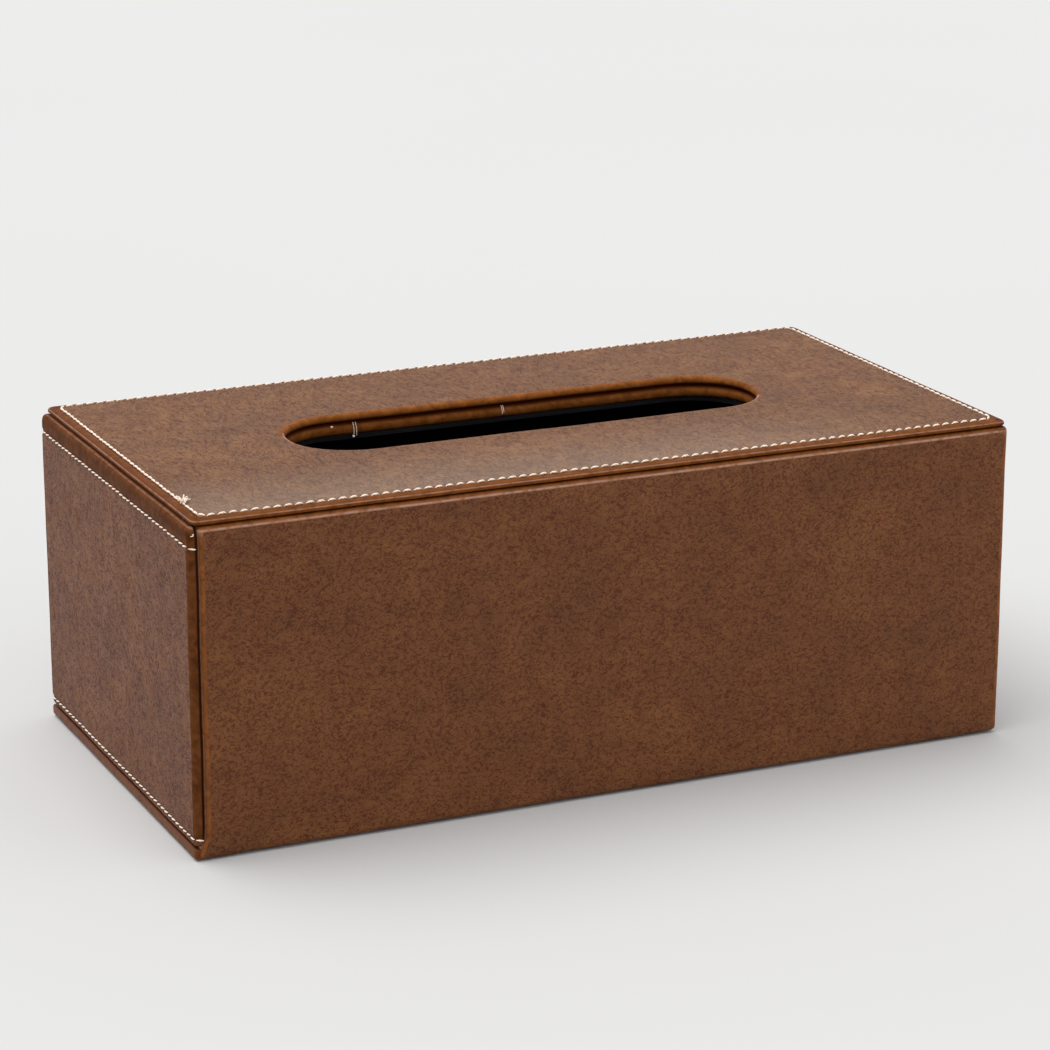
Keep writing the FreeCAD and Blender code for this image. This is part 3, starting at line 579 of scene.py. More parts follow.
def finish(name):
    """A material by name, made the first time it is asked for."""
    found = bpy.data.materials.get(name)
    if found:
        return found
    palette = colours()
    makers = {
        "brown_leatherette_wall": partial(
            leatherette, offset=(0, 0, 0), stretch=(1.3, 1, 1), grain=0.5, emboss=0.35, crease=0.4,
            crease_turn=(0, 0.5, 0), crease_stretch=(1.6, 1.0, 0.8), mottling=0.5),
        "brown_leatherette_end": partial(
            leatherette, offset=(40, 10, 0), stretch=(1, 2.2, 1), grain=0.75, emboss=0.5, crease=0.5,
            crease_turn=(0.5, 0, 0), crease_stretch=(1.0, 1.6, 2.4), mottling=0.5),
        # This material covers the lid and the collar: its tone lightens and greys the colour as a painted
        # sheen on their top faces, and a further painted sheen lies towards the lid's front.
        "brown_leatherette_lid": partial(
            leatherette, offset=(0, 70, 30), stretch=(1, 3, 1), grain=0.62, emboss=0.45, crease=0.4,
            crease_turn=(0, 0, 0.3), crease_stretch=(1.6, 2.0, 1.0), mottling=0.6, tone=(1.0, 1.13, 1.1),
            painted_sheen=0.165),
        "brown_leatherette_wall_edge": partial(pulled_leatherette, hue=palette.wall_edge, gloss=0.3),
        "brown_leatherette_lid_edge": partial(pulled_leatherette, hue=palette.lid_edge, gloss=0.05),
        "brown_leatherette_end_edge": partial(pulled_leatherette, hue=palette.end_edge, gloss=0.02),
        "waxed_polyester_thread": thread_material,
        "raw_fibreboard": partial(
            fibre_stock, dark=palette.board_dark, light=palette.board_light, fibre_mm=0.8,
            stretch=(3, 3, 0.6), matt=0.9),
        "matt_black_card": partial(
            fibre_stock, dark=palette.card, light=[c * 2 + 0.004 for c in palette.card], fibre_mm=0.5,
            stretch=(2, 2, 0.5), matt=0.85),
        "black_flock": partial(flock, hue=palette.lining, fibre_mm=0.3),
        "black_felt": partial(flock, hue=palette.felt, fibre_mm=0.6),
        "black_leatherette": black_leatherette,
    }
    return makers[name](name)


# ---------------------------------------------------------------- sheets on flat faces

def wrapped_panel(name, axis, outward, spans, depth, roll):
    """A rectangular sheet on one face of a board, turned back over all four edges.

    spans gives the two levels that it reaches on each axis. Along its own axis they are its thickness.
    """
    low, high = (Vector([spans[a][end] for a in (X, Y, Z)]) for end in (0, 1))
    centre = (low + high) / 2
    centre[axis] = (high if outward > 0 else low)[axis]
    width, height = [(high - low)[a] for a in (X, Y, Z) if a != axis]
    spacing = sizes().grid
    piece = add_primitive(
        bpy.ops.mesh.primitive_grid_add, name, size=1, location=centre,
        x_subdivisions=max(2, round(width / spacing)), y_subdivisions=max(2, round(height / spacing)),
        scale=(width, height, 1), rotation=along(axis, outward).to_track_quat("Z", "Y").to_euler())
    with editing(piece):
        pick(piece, "EDGE", is_rim)
        extrude(along(axis, -outward * depth))
        face_out(piece)
        pick(piece, "EDGE", is_corner)
        bpy.ops.mesh.bevel(offset=roll, segments=6, affect="EDGES", clamp_overlap=False)
    return piece


def spans_of(node):
    low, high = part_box(node)
    return {axis: (low[axis], high[axis]) for axis in (X, Y, Z)}


class TISSUE_OT_wall_covers(bpy.types.Operator):
    """The leatherette over the two long walls, rolled over their edges and turned under the base"""

    bl_idname = "tissue_box.wall_covers"
    bl_label = "Wall covers"

    def execute(self, context):
        skin, roll = sizes().skin, sizes().wall_roll
        turned_in, toe_height, band = 3.6 * MM, 7 * MM, 1.9 * MM
        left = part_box("front_board")[0].x - skin - sizes().sway
        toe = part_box("base_leather")[0].x + skin - left
        for name, outward in (("front", -1), ("back", 1)):
            spans = spans_of(f"{name}_leather")
            spans[X] = (left, spans[X][1])
            bottom, top = spans[Z]
            piece = wrapped_panel(f"{name}_cover", Y, outward, spans, turned_in, roll)
            with editing(piece):
                pick(piece, "VERT", lambda v: v.co.x < left + 2 * MM and v.co.z < bottom + 0.3 * MM)
                move((toe, 0, 0), toe_height)
            drape(piece, (0, outward, 0), skin)
            piece = join(f"{name}_cover", [piece, self.turn_in(name, outward)])
            ridge = top - roll + 0.3 * MM

            # Painted highlight: a thin line along the upper roll's ridge, and a band on the left edge's turn,
            # where they catch the light.
            def rubbed(co, normal):
                on_ridge = 1 - fade(abs(co.z - ridge), 0.1 * MM, 0.45 * MM)
                return max(on_ridge, 0.8 * (-0.92 < normal.x < -0.8 and co.z < ridge))

            def on_edge(point):
                """The right and upper edges, and a band down the left one, which flares out at the base."""
                flare = 1 - fade(point.z, bottom, bottom + toe_height)
                flare *= flare * (3 - 2 * flare)
                return (point.x > spans[X][1] - roll or point.z > top - roll
                        or point.x < left + band + toe * flare)

            # Painted shade on the upper roll where it faces up under the lid's edge, and on the left face in
            # the dark gap beside the drawer front.
            mark_points(piece, rub=rubbed, dye=lambda co, normal: max(0.9 * fade(normal.z, 0.75, 0.95),
                                                                      fade(-normal.x, 0.88, 0.98)))
            finish_piece(piece, "sleeve", ["brown_leatherette_wall", "brown_leatherette_wall_edge"],
                         [f"{name}_leather"], is_edge=on_edge)
        return {"FINISHED"}

    def turn_in(self, name, outward):
        """The flap of the cover that is glued to the board's inner face, from the mouth to the lining."""
        spans = spans_of(f"{name}_lining")
        spans[X] = (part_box(f"{name}_board")[0].x, spans[X][0])
        flap = wrapped_panel("turn_in", Y, -outward, spans, 0.48 * MM, 0.2 * MM)
        drape(flap, (0, -outward, 0), 0.15 * MM, 0.2)
        return flap


class TISSUE_OT_end_cover(bpy.types.Operator):
    """The leatherette over the fixed end wall, between the long walls"""

    bl_idname = "tissue_box.end_cover"
    bl_label = "End cover"

    def execute(self, context):
        spans = spans_of("end_leather")
        clearance, turned_in, roll = 0.1 * MM, 3.5 * MM, sizes().end_roll
        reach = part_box("end_board")[1].y - clearance
        spans[Y] = (-reach, reach)
        ridge = spans[Z][1] - roll
        piece = wrapped_panel("end_cover", X, 1, spans, turned_in, roll)
        drape(piece, (1, 0, 0), sizes().skin)
        # Painted shade on the upper roll where it faces up under the lid's edge, and a painted highlight
        # along the line where the roll turns.
        mark_points(piece, dye=lambda co, normal: 0.9 * fade(normal.z, 0.75, 0.95),
                    rub=lambda co, normal: abs(co.z - ridge) < 0.25 * MM)
        finish_piece(piece, "sleeve", ["brown_leatherette_end", "brown_leatherette_wall_edge"],
                     ["end_leather"],
                     is_edge=border({Y: spans[Y], Z: spans[Z]}, roll))
        return {"FINISHED"}


class TISSUE_OT_base_cover(bpy.types.Operator):
    """The strip of leatherette round the base board's edge, under the drawer front"""

    bl_idname = "tissue_box.base_cover"
    bl_label = "Base strip"

    def execute(self, context):
        spans = spans_of("base_leather")
        turned_in, roll = 12 * MM, 0.7 * MM
        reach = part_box("back_leather")[1].y - sizes().sway
        spans[Y] = (-reach, reach)
        piece = wrapped_panel("base_cover", X, -1, spans, turned_in, roll)
        drape(piece, (-1, 0, 0), sizes().skin, 0.5)
        # The strip is darkened all over, and more where it faces up, as painted shade.
        mark_points(piece, dye=lambda co, normal: 0.45 + 0.4 * fade(normal.z, 0.6, 0.9),
                    rub=lambda co, normal: 0)
        finish_piece(piece, "sleeve", ["brown_leatherette_wall_edge"], ["base_leather"])
        return {"FINISHED"}


class TISSUE_OT_linings(bpy.types.Operator):
    """The flocked linings of the sleeve and of the tray's floor, and the felt under the box"""

    bl_idname = "tissue_box.linings"
    bl_label = "Linings and felt"

    def execute(self, context):
        flock_slots, felt_slots = ("black_flock", "black_lining"), ("black_felt", "black_felt")
        for node, body, axis, outward, (material, slot) in (
            ("floor_lining", "sleeve", Z, 1, flock_slots),
            ("front_lining", "sleeve", Y, 1, flock_slots),
            ("back_lining", "sleeve", Y, -1, flock_slots),
            ("end_lining", "sleeve", X, -1, flock_slots),
            ("tray_floor_lining", "drawer", Z, 1, flock_slots),
            ("underside_felt", "sleeve", Z, -1, felt_slots),
        ):
            spans = spans_of(node)
            thick = spans[axis][1] - spans[axis][0]
            piece = wrapped_panel(f"{node}_sheet", axis, outward, spans, thick * 0.96, thick * 0.4)
            drape(piece, along(axis, outward), thick * 0.3, 0.2)
            finish_piece(piece, body, [material], [node])
        return {"FINISHED"}


# ---------------------------------------------------------------- sheets with the slot in them

def rounded_outline(name, spans, corner, level, straight_cuts):
    """A closed outline of edges: a rectangle with rounded corners and its straight sides cut up."""
    (left, right), (front, back) = spans
    piece = add_primitive(bpy.ops.mesh.primitive_plane_add, name, size=1,
                          scale=(right - left, back - front, 1),
                          location=((left + right) / 2, (front + back) / 2, level))
    with editing(piece):
        bpy.ops.mesh.select_all(action="SELECT")
        bpy.ops.mesh.bevel(offset=corner, segments=8, affect="VERTICES")
        bpy.ops.mesh.select_mode(type="FACE")
        bpy.ops.mesh.select_all(action="SELECT")
        bpy.ops.mesh.delete(type="ONLY_FACE")
        for axis, cuts in straight_cuts:
            pick(piece, "EDGE", lambda e: runs_along(e, axis))
            bpy.ops.mesh.subdivide(number_cuts=cuts)
    return piece


def in_slot(margin):
    """A test for elements that lie wholly within a margin of the slot's outline, or inside it."""
    return lambda element: all(slot_distance(point) < margin for point in points_of(element))


def slotted_panel(name, low, high, corner, outer_rolls, slot_roll, slot_low, slope=0.0, seam_lines=()):
    """A flat sheet with the tissue slot in it, turned down and under round its outline and round the slot.

    outer_rolls are the upper and lower radii of its outline. It reaches down to slot_low in the slot. It
    falls by slope from its seam to its outline, and seam_lines are the distances in from the outline at
    which it is cut for that.
    """
    cuts = ((X, 58), (Y, 14))
    outline = ((low.x, high.x), (low.y, high.y))
    ring = 2 * MM
    slot_ring = [(near - ring, far + ring) for near, far in SLOT_SPANS]
    piece = rounded_outline(name, outline, corner, high.z - slope, cuts)
    hole = rounded_outline("slot_outline", slot_ring, sizes().slot_corner + ring, high.z, cuts)
    piece = join(name, [piece, hole])
    by_slot = in_slot(4 * MM)

    def resize_loop(spans, level, growth):
        (left, right), (_, back) = spans
        bpy.ops.transform.resize(value=(1 + growth / ((right - left) / 2), 1 + growth / back, 1),
                                 center_override=((left + right) / 2, 0, level))

    def turn_down(inside, spans, level, growth):
        pick(piece, "EDGE", lambda e: is_rim(e) and by_slot(e) == inside)
        extrude((0, 0, -MM))
        flatten(Z, level)
        extrude((0, 0, 0))
        resize_loop(spans, level, growth)
        face_out(piece, Vector((0, 0, 1)))

    def roll_corners(test, radius):
        pick(piece, "EDGE", lambda e: is_corner(e) and test(e))
        bpy.ops.mesh.bevel(offset=radius, segments=6, affect="EDGES", clamp_overlap=False)

    with editing(piece):
        bpy.ops.mesh.select_mode(type="EDGE")
        bpy.ops.mesh.select_all(action="SELECT")
        bpy.ops.mesh.bridge_edge_loops(number_cuts=10, interpolation="LINEAR")
        turn_down(False, outline, low.z, -ring)
        for level, radius in zip((high.z - slope, low.z), outer_rolls):
            roll_corners(lambda e: at(Z, level)(e) and not by_slot(e), radius)
        for distance in seam_lines:
            score(piece, X, (low.x + distance, high.x - distance))
            score(piece, Y, (low.y + distance, high.y - distance))
            within = border({X: outline[0], Y: outline[1]}, distance - 0.05 * MM)
            pick(piece, "VERT", lambda v: v.co.z > high.z - slope - 0.01 * MM and not within(v.co))
            flatten(Z, high.z - slope * max(0.0, 1 - distance / sizes().stitch_inset))
        pick(piece, "EDGE", lambda e: is_rim(e) and by_slot(e))
        extrude((0, 0, 0))
        resize_loop(slot_ring, high.z, -ring)
        turn_down(True, SLOT_SPANS, slot_low, ring)
        roll_corners(in_slot(0.9 * MM), slot_roll)
    return piece


class TISSUE_OT_collar(bpy.types.Operator):
    """The leatherette over the structural top, rolled round the slot under the lid"""

    bl_idname = "tissue_box.collar"
    bl_label = "Collar under the lid"

    def execute(self, context):
        low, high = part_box("inner_top_leather")
        roll = sizes().collar_roll
        corner, rolls = 0.5 * MM, (1.4 * MM, 1.4 * MM)
        piece = slotted_panel("collar_cover", low, high, corner, rolls, roll, low.z)
        drape(piece, (0, 0, 1), sizes().skin, 0.7)
        # Painted shade where the collar faces up into the dark crevice under the lid, and on its underside.
        mark_points(piece, rub=lambda co, normal: 0,
                    dye=lambda co, normal: max(fade(normal.z, 0.35, 0.7), 0.85 * fade(-normal.z, 0.5, 0.9)))
        finish_piece(piece, "sleeve", ["brown_leatherette_lid", "brown_leatherette_lid_edge"],
                     ["inner_top_leather"],
                     is_edge=lambda point: slot_distance(point) < roll + 0.3 * MM)
        return {"FINISHED"}


class TISSUE_OT_lid_cover(bpy.types.Operator):
    """The lid panel's leatherette, with its sewn channel, its sloped and wrapped edge, and the slot"""

    bl_idname = "tissue_box.lid_cover"
    bl_label = "Lid cover"

    def execute(self, context):
        low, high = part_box("lid_leather")
        inset, slope, roll = sizes().stitch_inset, sizes().lid_slope, sizes().slot_roll
        under_roll, channel_reach = 0.35 * MM, 1.3 * MM
        lines = [inset + off * MM for off in (-0.9, -0.45, 0, 0.45, 0.9, 1.9)]
        rolls = (sizes().lid_roll, under_roll)
        piece = slotted_panel("lid_cover", low, high, sizes().lid_corner, rolls, roll,
                              low.z - sizes().slot_turn, slope, lines)
        spans = {X: (low.x, high.x), Y: (low.y, high.y)}
        with editing(piece):
            on_seam = border(spans, inset + 0.05 * MM)
            pick(piece, "VERT", lambda v: v.co.z > high.z - 0.05 * MM and on_seam(v.co))
            move((0, 0, -sizes().channel), channel_reach)
        drape(piece, (0, 0, 1), sizes().skin * 0.9, 0.6)

        def by_slot(point):
            return slot_distance(point) < 3 * MM

        # Painted highlight: the slot's near edge, where its roll faces up and back, and the sloped rim
        # outside the seam.
        def rubbed(co, normal):
            if by_slot(co):
                return normal.z > 0.6 and normal.dot((0.4, 0.9, 0)) > 0.08
            return 0.5 * (0.35 < normal.z < 0.8)

        # Painted shade: the slot's roll where it turns under, and the rim outside the seam, darkened all over
        # and more where it faces left and where it faces right.
        def dyed(co, normal):
            if by_slot(co):
                return fade(-normal.z, 0.05, 0.5)
            return 0.38 + 0.2 * (normal.x < -0.05) + 0.4 * (normal.x > 0.05)

        def on_edge(point):
            """Outside the seam, and on the slot's roll, of which more shows at the slot's far side."""
            rolled = (1.25 + 0.65 * fade(point.y, 0, SLOT_SPANS[Y][1])) * MM
            return border(spans, inset)(point) or slot_distance(point) < rolled

        mark_points(piece, rub=rubbed, dye=dyed)
        finish_piece(piece, "sleeve", ["brown_leatherette_lid", "brown_leatherette_lid_edge"],
                     ["lid_leather"], is_edge=on_edge)
        return {"FINISHED"}


# ---------------------------------------------------------------- drawer

def drawer_seams():
    """Heights of the drawer front's upper and lower stitch lines."""
    lines = {}
    for name in ("upper", "lower"):
        low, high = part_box(f"drawer_front_{name}_stitching")
        lines[name] = (low.z + high.z) / 2
    return lines


class TISSUE_OT_drawer_cover(bpy.types.Operator):
    """The drawer front's padded leatherette: a rolled face with a sewn channel near its top and its bottom"""

    bl_idname = "tissue_box.drawer_cover"
    bl_label = "Drawer front cover"

    def execute(self, context):
        low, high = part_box("drawer_front_leather")
        roll, spacing, channel_reach = sizes().front_roll, 2.5 * MM, 1.2 * MM
        piece = add_primitive(bpy.ops.mesh.primitive_cube_add, "drawer_front_cover", size=1,
                              scale=high - low, location=(low + high) / 2)
        seams = drawer_seams()
        with editing(piece):
            pick(piece, "EDGE", lambda e: runs_along(e, X))
            bpy.ops.mesh.bevel(offset=sizes().front_corner, segments=6, affect="EDGES")
            pick(piece, "EDGE", at(X, low.x))
            bpy.ops.mesh.bevel(offset=roll, segments=7, affect="EDGES", profile=0.62, clamp_overlap=False)
            pick(piece, "EDGE", lambda e: at(X, high.x)(e) and is_corner(e))
            bpy.ops.mesh.bevel(offset=sizes().front_back_roll, segments=5, affect="EDGES",
                               clamp_overlap=False)
            score(piece, Y, steps(low.y, high.y, spacing))
            score(piece, Z, steps(low.z + 5 * MM, high.z - 9 * MM, spacing))
            for line in seams.values():
                score(piece, Z, [line + off * MM for off in (-1.2, -0.8, -0.4, 0, 0.4, 0.8, 1.2)])
            for line in seams.values():
                pick(piece, "VERT", lambda v: at(Z, line)(v) and v.co.x < low.x + 0.9 * MM)
                move((sizes().channel, 0, 0), channel_reach)
            card = spans_of("drawer_front_backing")
            del card[X]
            for axis, ends in card.items():
                score(piece, axis, ends)
            pick(piece, "FACE", lambda f: at(X, high.x)(f) and not border(card, 0)(f.calc_center_median()))
            bpy.ops.mesh.delete(type="FACE")
        drape(piece, (-1, 0, 0), sizes().skin)
        ribbon = high.z - 2.1 * MM

        # Painted shade on the rounding that faces back into the dark gap behind the drawer front, and a faint
        # dark band along the upper roll where it catches less sheen.
        def dyed(co, normal):
            return max(fade(normal.x, 0.02, 0.3), 0.2 * (1 - fade(abs(co.z - ribbon), 0.4 * MM, 1.5 * MM)))

        def on_edge(point):
            """All of the face above the upper seam, and its rolled sides down to the lower one."""
            return point.z > seams["upper"] or (abs(point.y) >= high.y - roll and point.z > seams["lower"])

        # Painted highlight where the upper roll faces up.
        mark_points(piece, rub=lambda co, normal: 0.35 * (0.85 < normal.z < 0.97), dye=dyed)
        finish_piece(piece, "drawer", ["brown_leatherette_end", "brown_leatherette_end_edge"],
                     ["drawer_front_leather"], is_edge=on_edge)
        return {"FINISHED"}


class TISSUE_OT_tray(bpy.types.Operator):
    """The tray's black cover, folded over the tops of its walls, and the pile that lines them"""

    bl_idname = "tissue_box.tray"
    bl_label = "Tray"

    def execute(self, context):
        for node, corner, fold, material, slot in (
            ("tray_cover", 0.8 * MM, 3.1 * MM, "black_leatherette", "black_cover"),
            ("tray_wall_lining", 0.6 * MM, 0.0, "black_flock", "black_lining"),
        ):
            low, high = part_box(node)
            spans = ((low.x, high.x), (low.y, high.y))
            piece = rounded_outline(f"{node}_sheet", spans, corner, low.z, ((X, 58), (Y, 30)))
            with editing(piece):
                bpy.ops.mesh.select_all(action="SELECT")
                extrude((0, 0, high.z - low.z))
                score(piece, Z, steps(low.z, high.z, sizes().grid))
                if fold:
                    pick(piece, "EDGE", at(Z, high.z))
                    extrude((0, 0, 0))
                    half_x, half_y = (high.x - low.x) / 2, (high.y - low.y) / 2
                    bpy.ops.transform.resize(value=(1 - fold / half_x, 1 - fold / half_y, 1),
                                             center_override=(low + high) / 2)
                    face_out(piece)
                    pick(piece, "EDGE", lambda e: is_corner(e) and at(Z, high.z)(e))
                    bpy.ops.mesh.bevel(offset=0.7 * MM, segments=4, affect="EDGES", clamp_overlap=False)
            drape(piece, (0, 1, 0), 0.35 * MM, 0.3)
            finish_piece(piece, "drawer", [material], [node])
        return {"FINISHED"}


# ---------------------------------------------------------------- stitches

def stitch_template():
    """One stitch along X: a leaf-shaped pull of thread, slimmer where it starts, whose ends dive down."""
    thread, half = sizes().thread, sizes().stitch_length / 2
    piece = add_primitive(bpy.ops.mesh.primitive_uv_sphere_add, "stitch", segments=8, ring_count=7, radius=1,
                          rotation=(0, math.pi / 2, 0))
    with editing(piece):
        bpy.ops.mesh.select_all(action="SELECT")
        bpy.ops.transform.resize(value=(half, thread * 0.52, thread * 0.5), center_override=(0, 0, 0))
        for end, dive, lean in ((-1, -0.3, -0.08), (1, -0.24, 0.06)):
            pick(piece, "VERT", lambda v: v.co.x * end > half * 0.97)
            move((0, lean * MM, dive * MM), half * 0.6)
        pick(piece, "VERT", lambda v: v.co.x < -half * 0.3)
        bpy.ops.transform.resize(value=(1, 0.72, 0.8))
    return piece


def lay_stitches(name, places, fullness=1.0):
    """Copies a stitch to each place and joins the copies.

    A place is a point, a run, an up, a turn and a stretch. fullness thickens or thins the thread.
    """
    template = stitch_template()
    copies = []
    for point, run, up, turn, stretch in places:
        run = Vector(run).normalized()
        up = Vector(up).normalized()
        axes = Matrix((run, up.cross(run), up)).transposed().to_4x4()
        mesh = template.data.copy()
        mesh.transform(Matrix.Translation(point) @ axes @ Matrix.Rotation(turn, 4, "Z")
                       @ Matrix.Diagonal((stretch, fullness, fullness, 1)))
        copy = bpy.data.objects.new(name, mesh)
        bpy.context.scene.collection.objects.link(copy)
        copies.append(copy)
    bpy.data.objects.remove(template)
    return join(name, copies)


def stitch_row(start, end, up, rng, lift):
    """Places along a straight row, about a pitch apart, each a little different from the next."""
    start, end, up = Vector(start), Vector(end), Vector(up)
    run = end - start
    count = round(run.length / sizes().stitch_pitch)
    places = []
    for i in range(count):
        point = start + run * ((i + 0.5) / count)
        point += up * (lift + rng.uniform(-0.04, 0.04) * MM)
        point += up.cross(run.normalized()) * rng.uniform(-0.08, 0.08) * MM
        places.append((point, run, up, math.radians(rng.uniform(3, 11)), rng.uniform(0.92, 1.06)))
    return places


def strand(name, points, radius):
    """A fine fibre through five points."""
    bpy.ops.object.select_all(action="DESELECT")
    bpy.ops.curve.primitive_nurbs_path_add(location=(0, 0, 0))
    fibre = bpy.context.object
    fibre.name = name
    for control, point in zip(fibre.data.splines[0].points, points):
        control.co = (*point, 1.0)
    fibre.data.resolution_u = 4
    fibre.data.bevel_depth = radius
    fibre.data.bevel_resolution = 1
    fibre.data.use_fill_caps = True
    bpy.ops.object.convert(target="MESH")
    return bpy.context.object


def fray(name, rng, centre, reach, count, radius):
    """A frayed thread end: fibres that start together and spread to random places within a reach."""
    centre, reach = Vector(centre), Vector(reach)
    fibres = []
    for _ in range(count):
        tip = centre + Vector([rng.uniform(-1, 1) * r for r in reach])
        tip.z = centre.z + abs(tip.z - centre.z)
        points = [centre.lerp(tip, t) + Vector([rng.uniform(-0.14, 0.14) * r for r in reach])
                  for t in (0, 0.3, 0.55, 0.8, 1)]
        fibres.append(strand(name, points, radius * rng.uniform(0.7, 1.2)))
    return fibres


class TISSUE_OT_lid_stitches(bpy.types.Operator):
    """The stitches along the lid panel's four sides, with one across each corner and a frayed end"""

    bl_idname = "tissue_box.lid_stitches"
    bl_label = "Lid stitches"

    def execute(self, context):
        rng = random.Random(11)
        low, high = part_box("lid_leather")
        inset = sizes().stitch_inset
        left, right, front, back = low.x + inset, high.x - inset, low.y + inset, high.y - inset
        lift = 0.34 * MM
        level = high.z - sizes().channel + lift
        corners = [Vector((x, y, 0)) for x, y in ((left, front), (right, front), (right, back), (left, back))]
        cut = 1.75 * MM
        up = Vector((0, 0, 1))
        places = []
        for i, corner in enumerate(corners):
            following = corners[(i + 1) % 4]
            run = (following - corner).normalized()
            before = (corner - corners[i - 1]).normalized()
            places += stitch_row(corner + run * cut, following - run * cut, up, rng, level)
            places.append((corner + (run - before) * cut / 2 + up * level, run + before, up, 0.05, 0.9))
        stitches = lay_stitches("lid_stitches", places)
        clear = 0.1 * MM
        tail = fray("tail", rng, (left + 0.5 * MM, -47.3 * MM, high.z + clear),
                    (1.5 * MM, 3.0 * MM, 1.1 * MM), 30, 0.21 * MM)
        wisp = fray("wisp", rng, (low.x + clear, -57.2 * MM, low.z + clear),
                    (0.6 * MM, 1.2 * MM, 0.3 * MM), 3, 0.08 * MM)
        piece = join("lid_stitches", [stitches, *tail, *wisp])
        finish_piece(piece, "sleeve", ["waxed_polyester_thread"], ["lid_stitching"], 80)
        return {"FINISHED"}


class TISSUE_OT_drawer_stitches(bpy.types.Operator):
    """The drawer front's two stitch lines, which turn round its rolled edges onto its sides"""

    bl_idname = "tissue_box.drawer_stitches"
    bl_label = "Drawer front stitches"

    def execute(self, context):
        low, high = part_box("drawer_front_leather")
        roll = sizes().front_roll
        falls = {"upper": 0.35 * MM, "lower": -0.2 * MM}
        longer, thinner = 1.22, 0.72
        for seed, (name, line) in enumerate(drawer_seams().items()):
            rng = random.Random(21 + seed)
            depth = -(low.x + sizes().channel) + 0.4 * MM
            reach = high.y - roll + 0.6 * MM
            row = stitch_row((0, reach, line), (0, -reach, line), (-1, 0, 0), rng, depth)
            places = [(*place, stretch * longer) for *place, stretch in row]
            for side in (-1, 1):
                places.append(((low.x + 1.2 * MM, side * (high.y + 0.02 * MM), line - falls[name]),
                               (0.9, side * 0.3, -0.12), (-0.3, side * 0.9, 0), 0.0, 0.85))
            parts = [lay_stitches("stitches", places, thinner)]
            if name == "upper":
                parts += fray("wisp", rng, (low.x + 1.5 * MM, low.y + 0.1 * MM, 91.2 * MM),
                              (0.6 * MM, 0.15 * MM, 0.6 * MM), 4, 0.1 * MM)
            piece = join(f"drawer_{name}_stitches", parts)
            finish_piece(piece, "drawer", ["waxed_polyester_thread"],
                         [f"drawer_front_{name}_stitching"], 80)
        return {"FINISHED"}


class TISSUE_OT_collar_tacks(bpy.types.Operator):
    """The hand-sewn tacks that show on the collar at the slot's far edge"""

    bl_idname = "tissue_box.collar_tacks"
    bl_label = "Collar tacks"

    def execute(self, context):
        back = SLOT_SPANS[Y][1]
        over_roll = ((0.75, 92.9), (0.1, 92.2), (-0.15, 91.2), (-0.1, 90.0), (0.35, 89.1))
        parts = []
        for x, lowest in ((-45.1, 89.1), (-44.3, 89.1), (2.0, 90.4), (2.5, 90.8)):
            points = [((x + 0.06 * i) * MM, back + y * MM, max(z, lowest) * MM)
                      for i, (y, z) in enumerate(over_roll)]
            parts.append(strand("tack", points, 0.13 * MM))
        knots = ((-45.0, 0.25, 88.9, 0.42), (-51.8, 0.3, 92.3, 0.45), (-55.0, 0.35, 92.4, 0.22))
        for x, y, z, radius in knots:
            place = (x * MM, back + y * MM, z * MM)
            parts.append(add_primitive(bpy.ops.mesh.primitive_uv_sphere_add, "knot", segments=10,
                                       ring_count=6, radius=radius * MM, scale=(1, 0.8, 0.9), location=place))
        piece = join("collar_tacks", parts)
        finish_piece(piece, "sleeve", ["waxed_polyester_thread"], angle=80)
        return {"FINISHED"}


class TISSUE_OT_carcass(bpy.types.Operator):
    """Finishes for the boards and cards that the covers leave in sight"""

    bl_idname = "tissue_box.carcass"
    bl_label = "Boards and cards"

    def execute(self, context):
        kinds = {
            "raw_fibreboard": ["base_board", "front_board", "back_board", "end_board", "inner_top_board",
                               "drawer_front_board", "tray_floor_board", "tray_front_board",
                               "tray_back_board", "tray_near_side_board", "tray_far_side_board"],
            "matt_black_card": ["lid_backing", "lid_board"],
            "black_flock": ["inner_top_lining", "drawer_front_backing"],
        }
        for material, nodes in kinds.items():
            for node in nodes:
                for material_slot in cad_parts[node].material_slots:
                    material_slot.material = finish(material)
        return {"FINISHED"}


# ---------------------------------------------------------------- studio

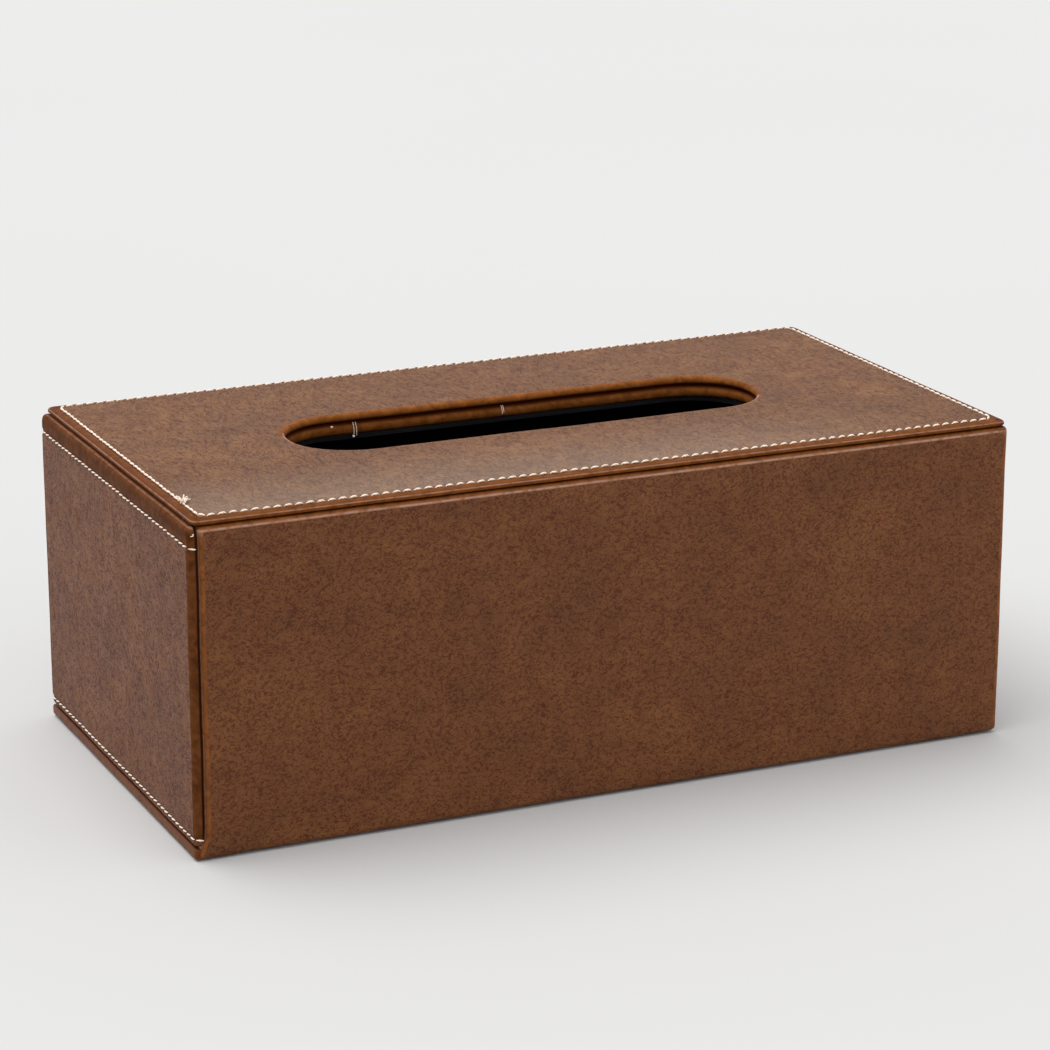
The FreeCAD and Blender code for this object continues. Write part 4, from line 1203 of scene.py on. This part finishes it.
class TISSUE_OT_stage(bpy.types.Operator):
    """A pale floor, soft studio light and the camera"""

    bl_idname = "tissue_box.stage"
    bl_label = "Studio"

    def execute(self, context):
        floor = add_primitive(bpy.ops.mesh.primitive_circle_add, "floor", vertices=96, radius=8.0,
                              fill_type="NGON", location=(0, 0, -0.2 * MM))
        with editing(floor):
            bpy.ops.mesh.select_all(action="SELECT")
            bpy.ops.mesh.inset(thickness=6.0)
        material, add, place = start_material("painted_floor")
        drift = add(NOISE, {"Vector": place, "Scale": 1 / 400, "Detail": 2.0})
        tone = add(RANGE, {**BULK, "Value": drift, "To Max": 0.3})
        base = add(MIX, {"Factor_Float": tone, "A_Color": solid(colours().floor),
                         "B_Color": solid([c * 0.96 for c in colours().floor])}, data_type="RGBA")
        rough = add(RANGE, {**BULK, "Value": drift, "To Min": 0.9, "To Max": 0.95})
        bump = add(BUMP, {"Height": drift, "Distance": 0.1 * MM})
        shader = add("ShaderNodeBsdfPrincipled", {"Base Color": base, "Roughness": rough, "Normal": bump})
        add("ShaderNodeOutputMaterial", {"Surface": shader})
        floor.data.materials.append(material)

        for name, comes_from, strength, spread in (
            ("overhead_light", (-0.3, 0.2, 1.0), 2.45, 60),
            ("front_light", (0.3, -1.0, 0.5), 0.35, 70),
        ):
            bpy.ops.object.light_add(type="SUN", location=comes_from)
            lamp = bpy.context.object
            lamp.name = name
            lamp.rotation_euler = Vector(comes_from).to_track_quat("Z", "Y").to_euler()
            lamp.data.energy = strength
            lamp.data.angle = math.radians(spread)
        world = bpy.data.worlds.new("studio_air")
        bpy.context.scene.world = world
        world.use_nodes = True
        air = world.node_tree.nodes["Background"].inputs
        air["Color"].default_value = (0.97, 0.985, 1.0, 1.0)
        air["Strength"].default_value = 0.82

        eye, target = Vector((-0.41142, -0.91338, 0.36031)), Vector((0.00118, 0.0, 0.06134))
        bpy.ops.object.camera_add(location=eye)
        camera = bpy.context.object
        camera.rotation_euler = (target - eye).to_track_quat("-Z", "Y").to_euler()
        camera.data.sensor_width = 36.0
        camera.data.lens = 122.3
        camera.data.clip_end = 50.0
        bpy.context.scene.camera = camera
        bpy.context.scene.view_settings.view_transform = "Standard"
        return {"FINISHED"}


# ---------------------------------------------------------------- panel and registration

STEPS = (TISSUE_OT_stage, TISSUE_OT_carcass, TISSUE_OT_wall_covers, TISSUE_OT_end_cover, TISSUE_OT_base_cover,
         TISSUE_OT_linings, TISSUE_OT_collar, TISSUE_OT_lid_cover, TISSUE_OT_drawer_cover, TISSUE_OT_tray,
         TISSUE_OT_lid_stitches, TISSUE_OT_drawer_stitches, TISSUE_OT_collar_tacks)


class TISSUE_PT_panel(bpy.types.Panel):
    """Lists the steps that dress the tissue box"""

    bl_idname = "TISSUE_PT_panel"
    bl_label = "Tissue box"
    bl_space_type = "VIEW_3D"
    bl_region_type = "UI"
    bl_category = "Tissue box"

    def draw(self, context):
        for step in STEPS:
            self.layout.operator(step.bl_idname)


CLASSES = (TissueBoxSizes, TissueBoxColours, *STEPS, TISSUE_PT_panel)


def register():
    for part in CLASSES:
        bpy.utils.register_class(part)
    bpy.types.Scene.tissue_box_sizes = PointerProperty(type=TissueBoxSizes)
    bpy.types.Scene.tissue_box_colours = PointerProperty(type=TissueBoxColours)


def unregister():
    del bpy.types.Scene.tissue_box_colours
    del bpy.types.Scene.tissue_box_sizes
    for part in reversed(CLASSES):
        bpy.utils.unregister_class(part)


def main():
    register()
    for step in STEPS:
        group, name = step.bl_idname.split(".")
        getattr(getattr(bpy.ops, group), name)()


if __name__ == "__main__":
    main()
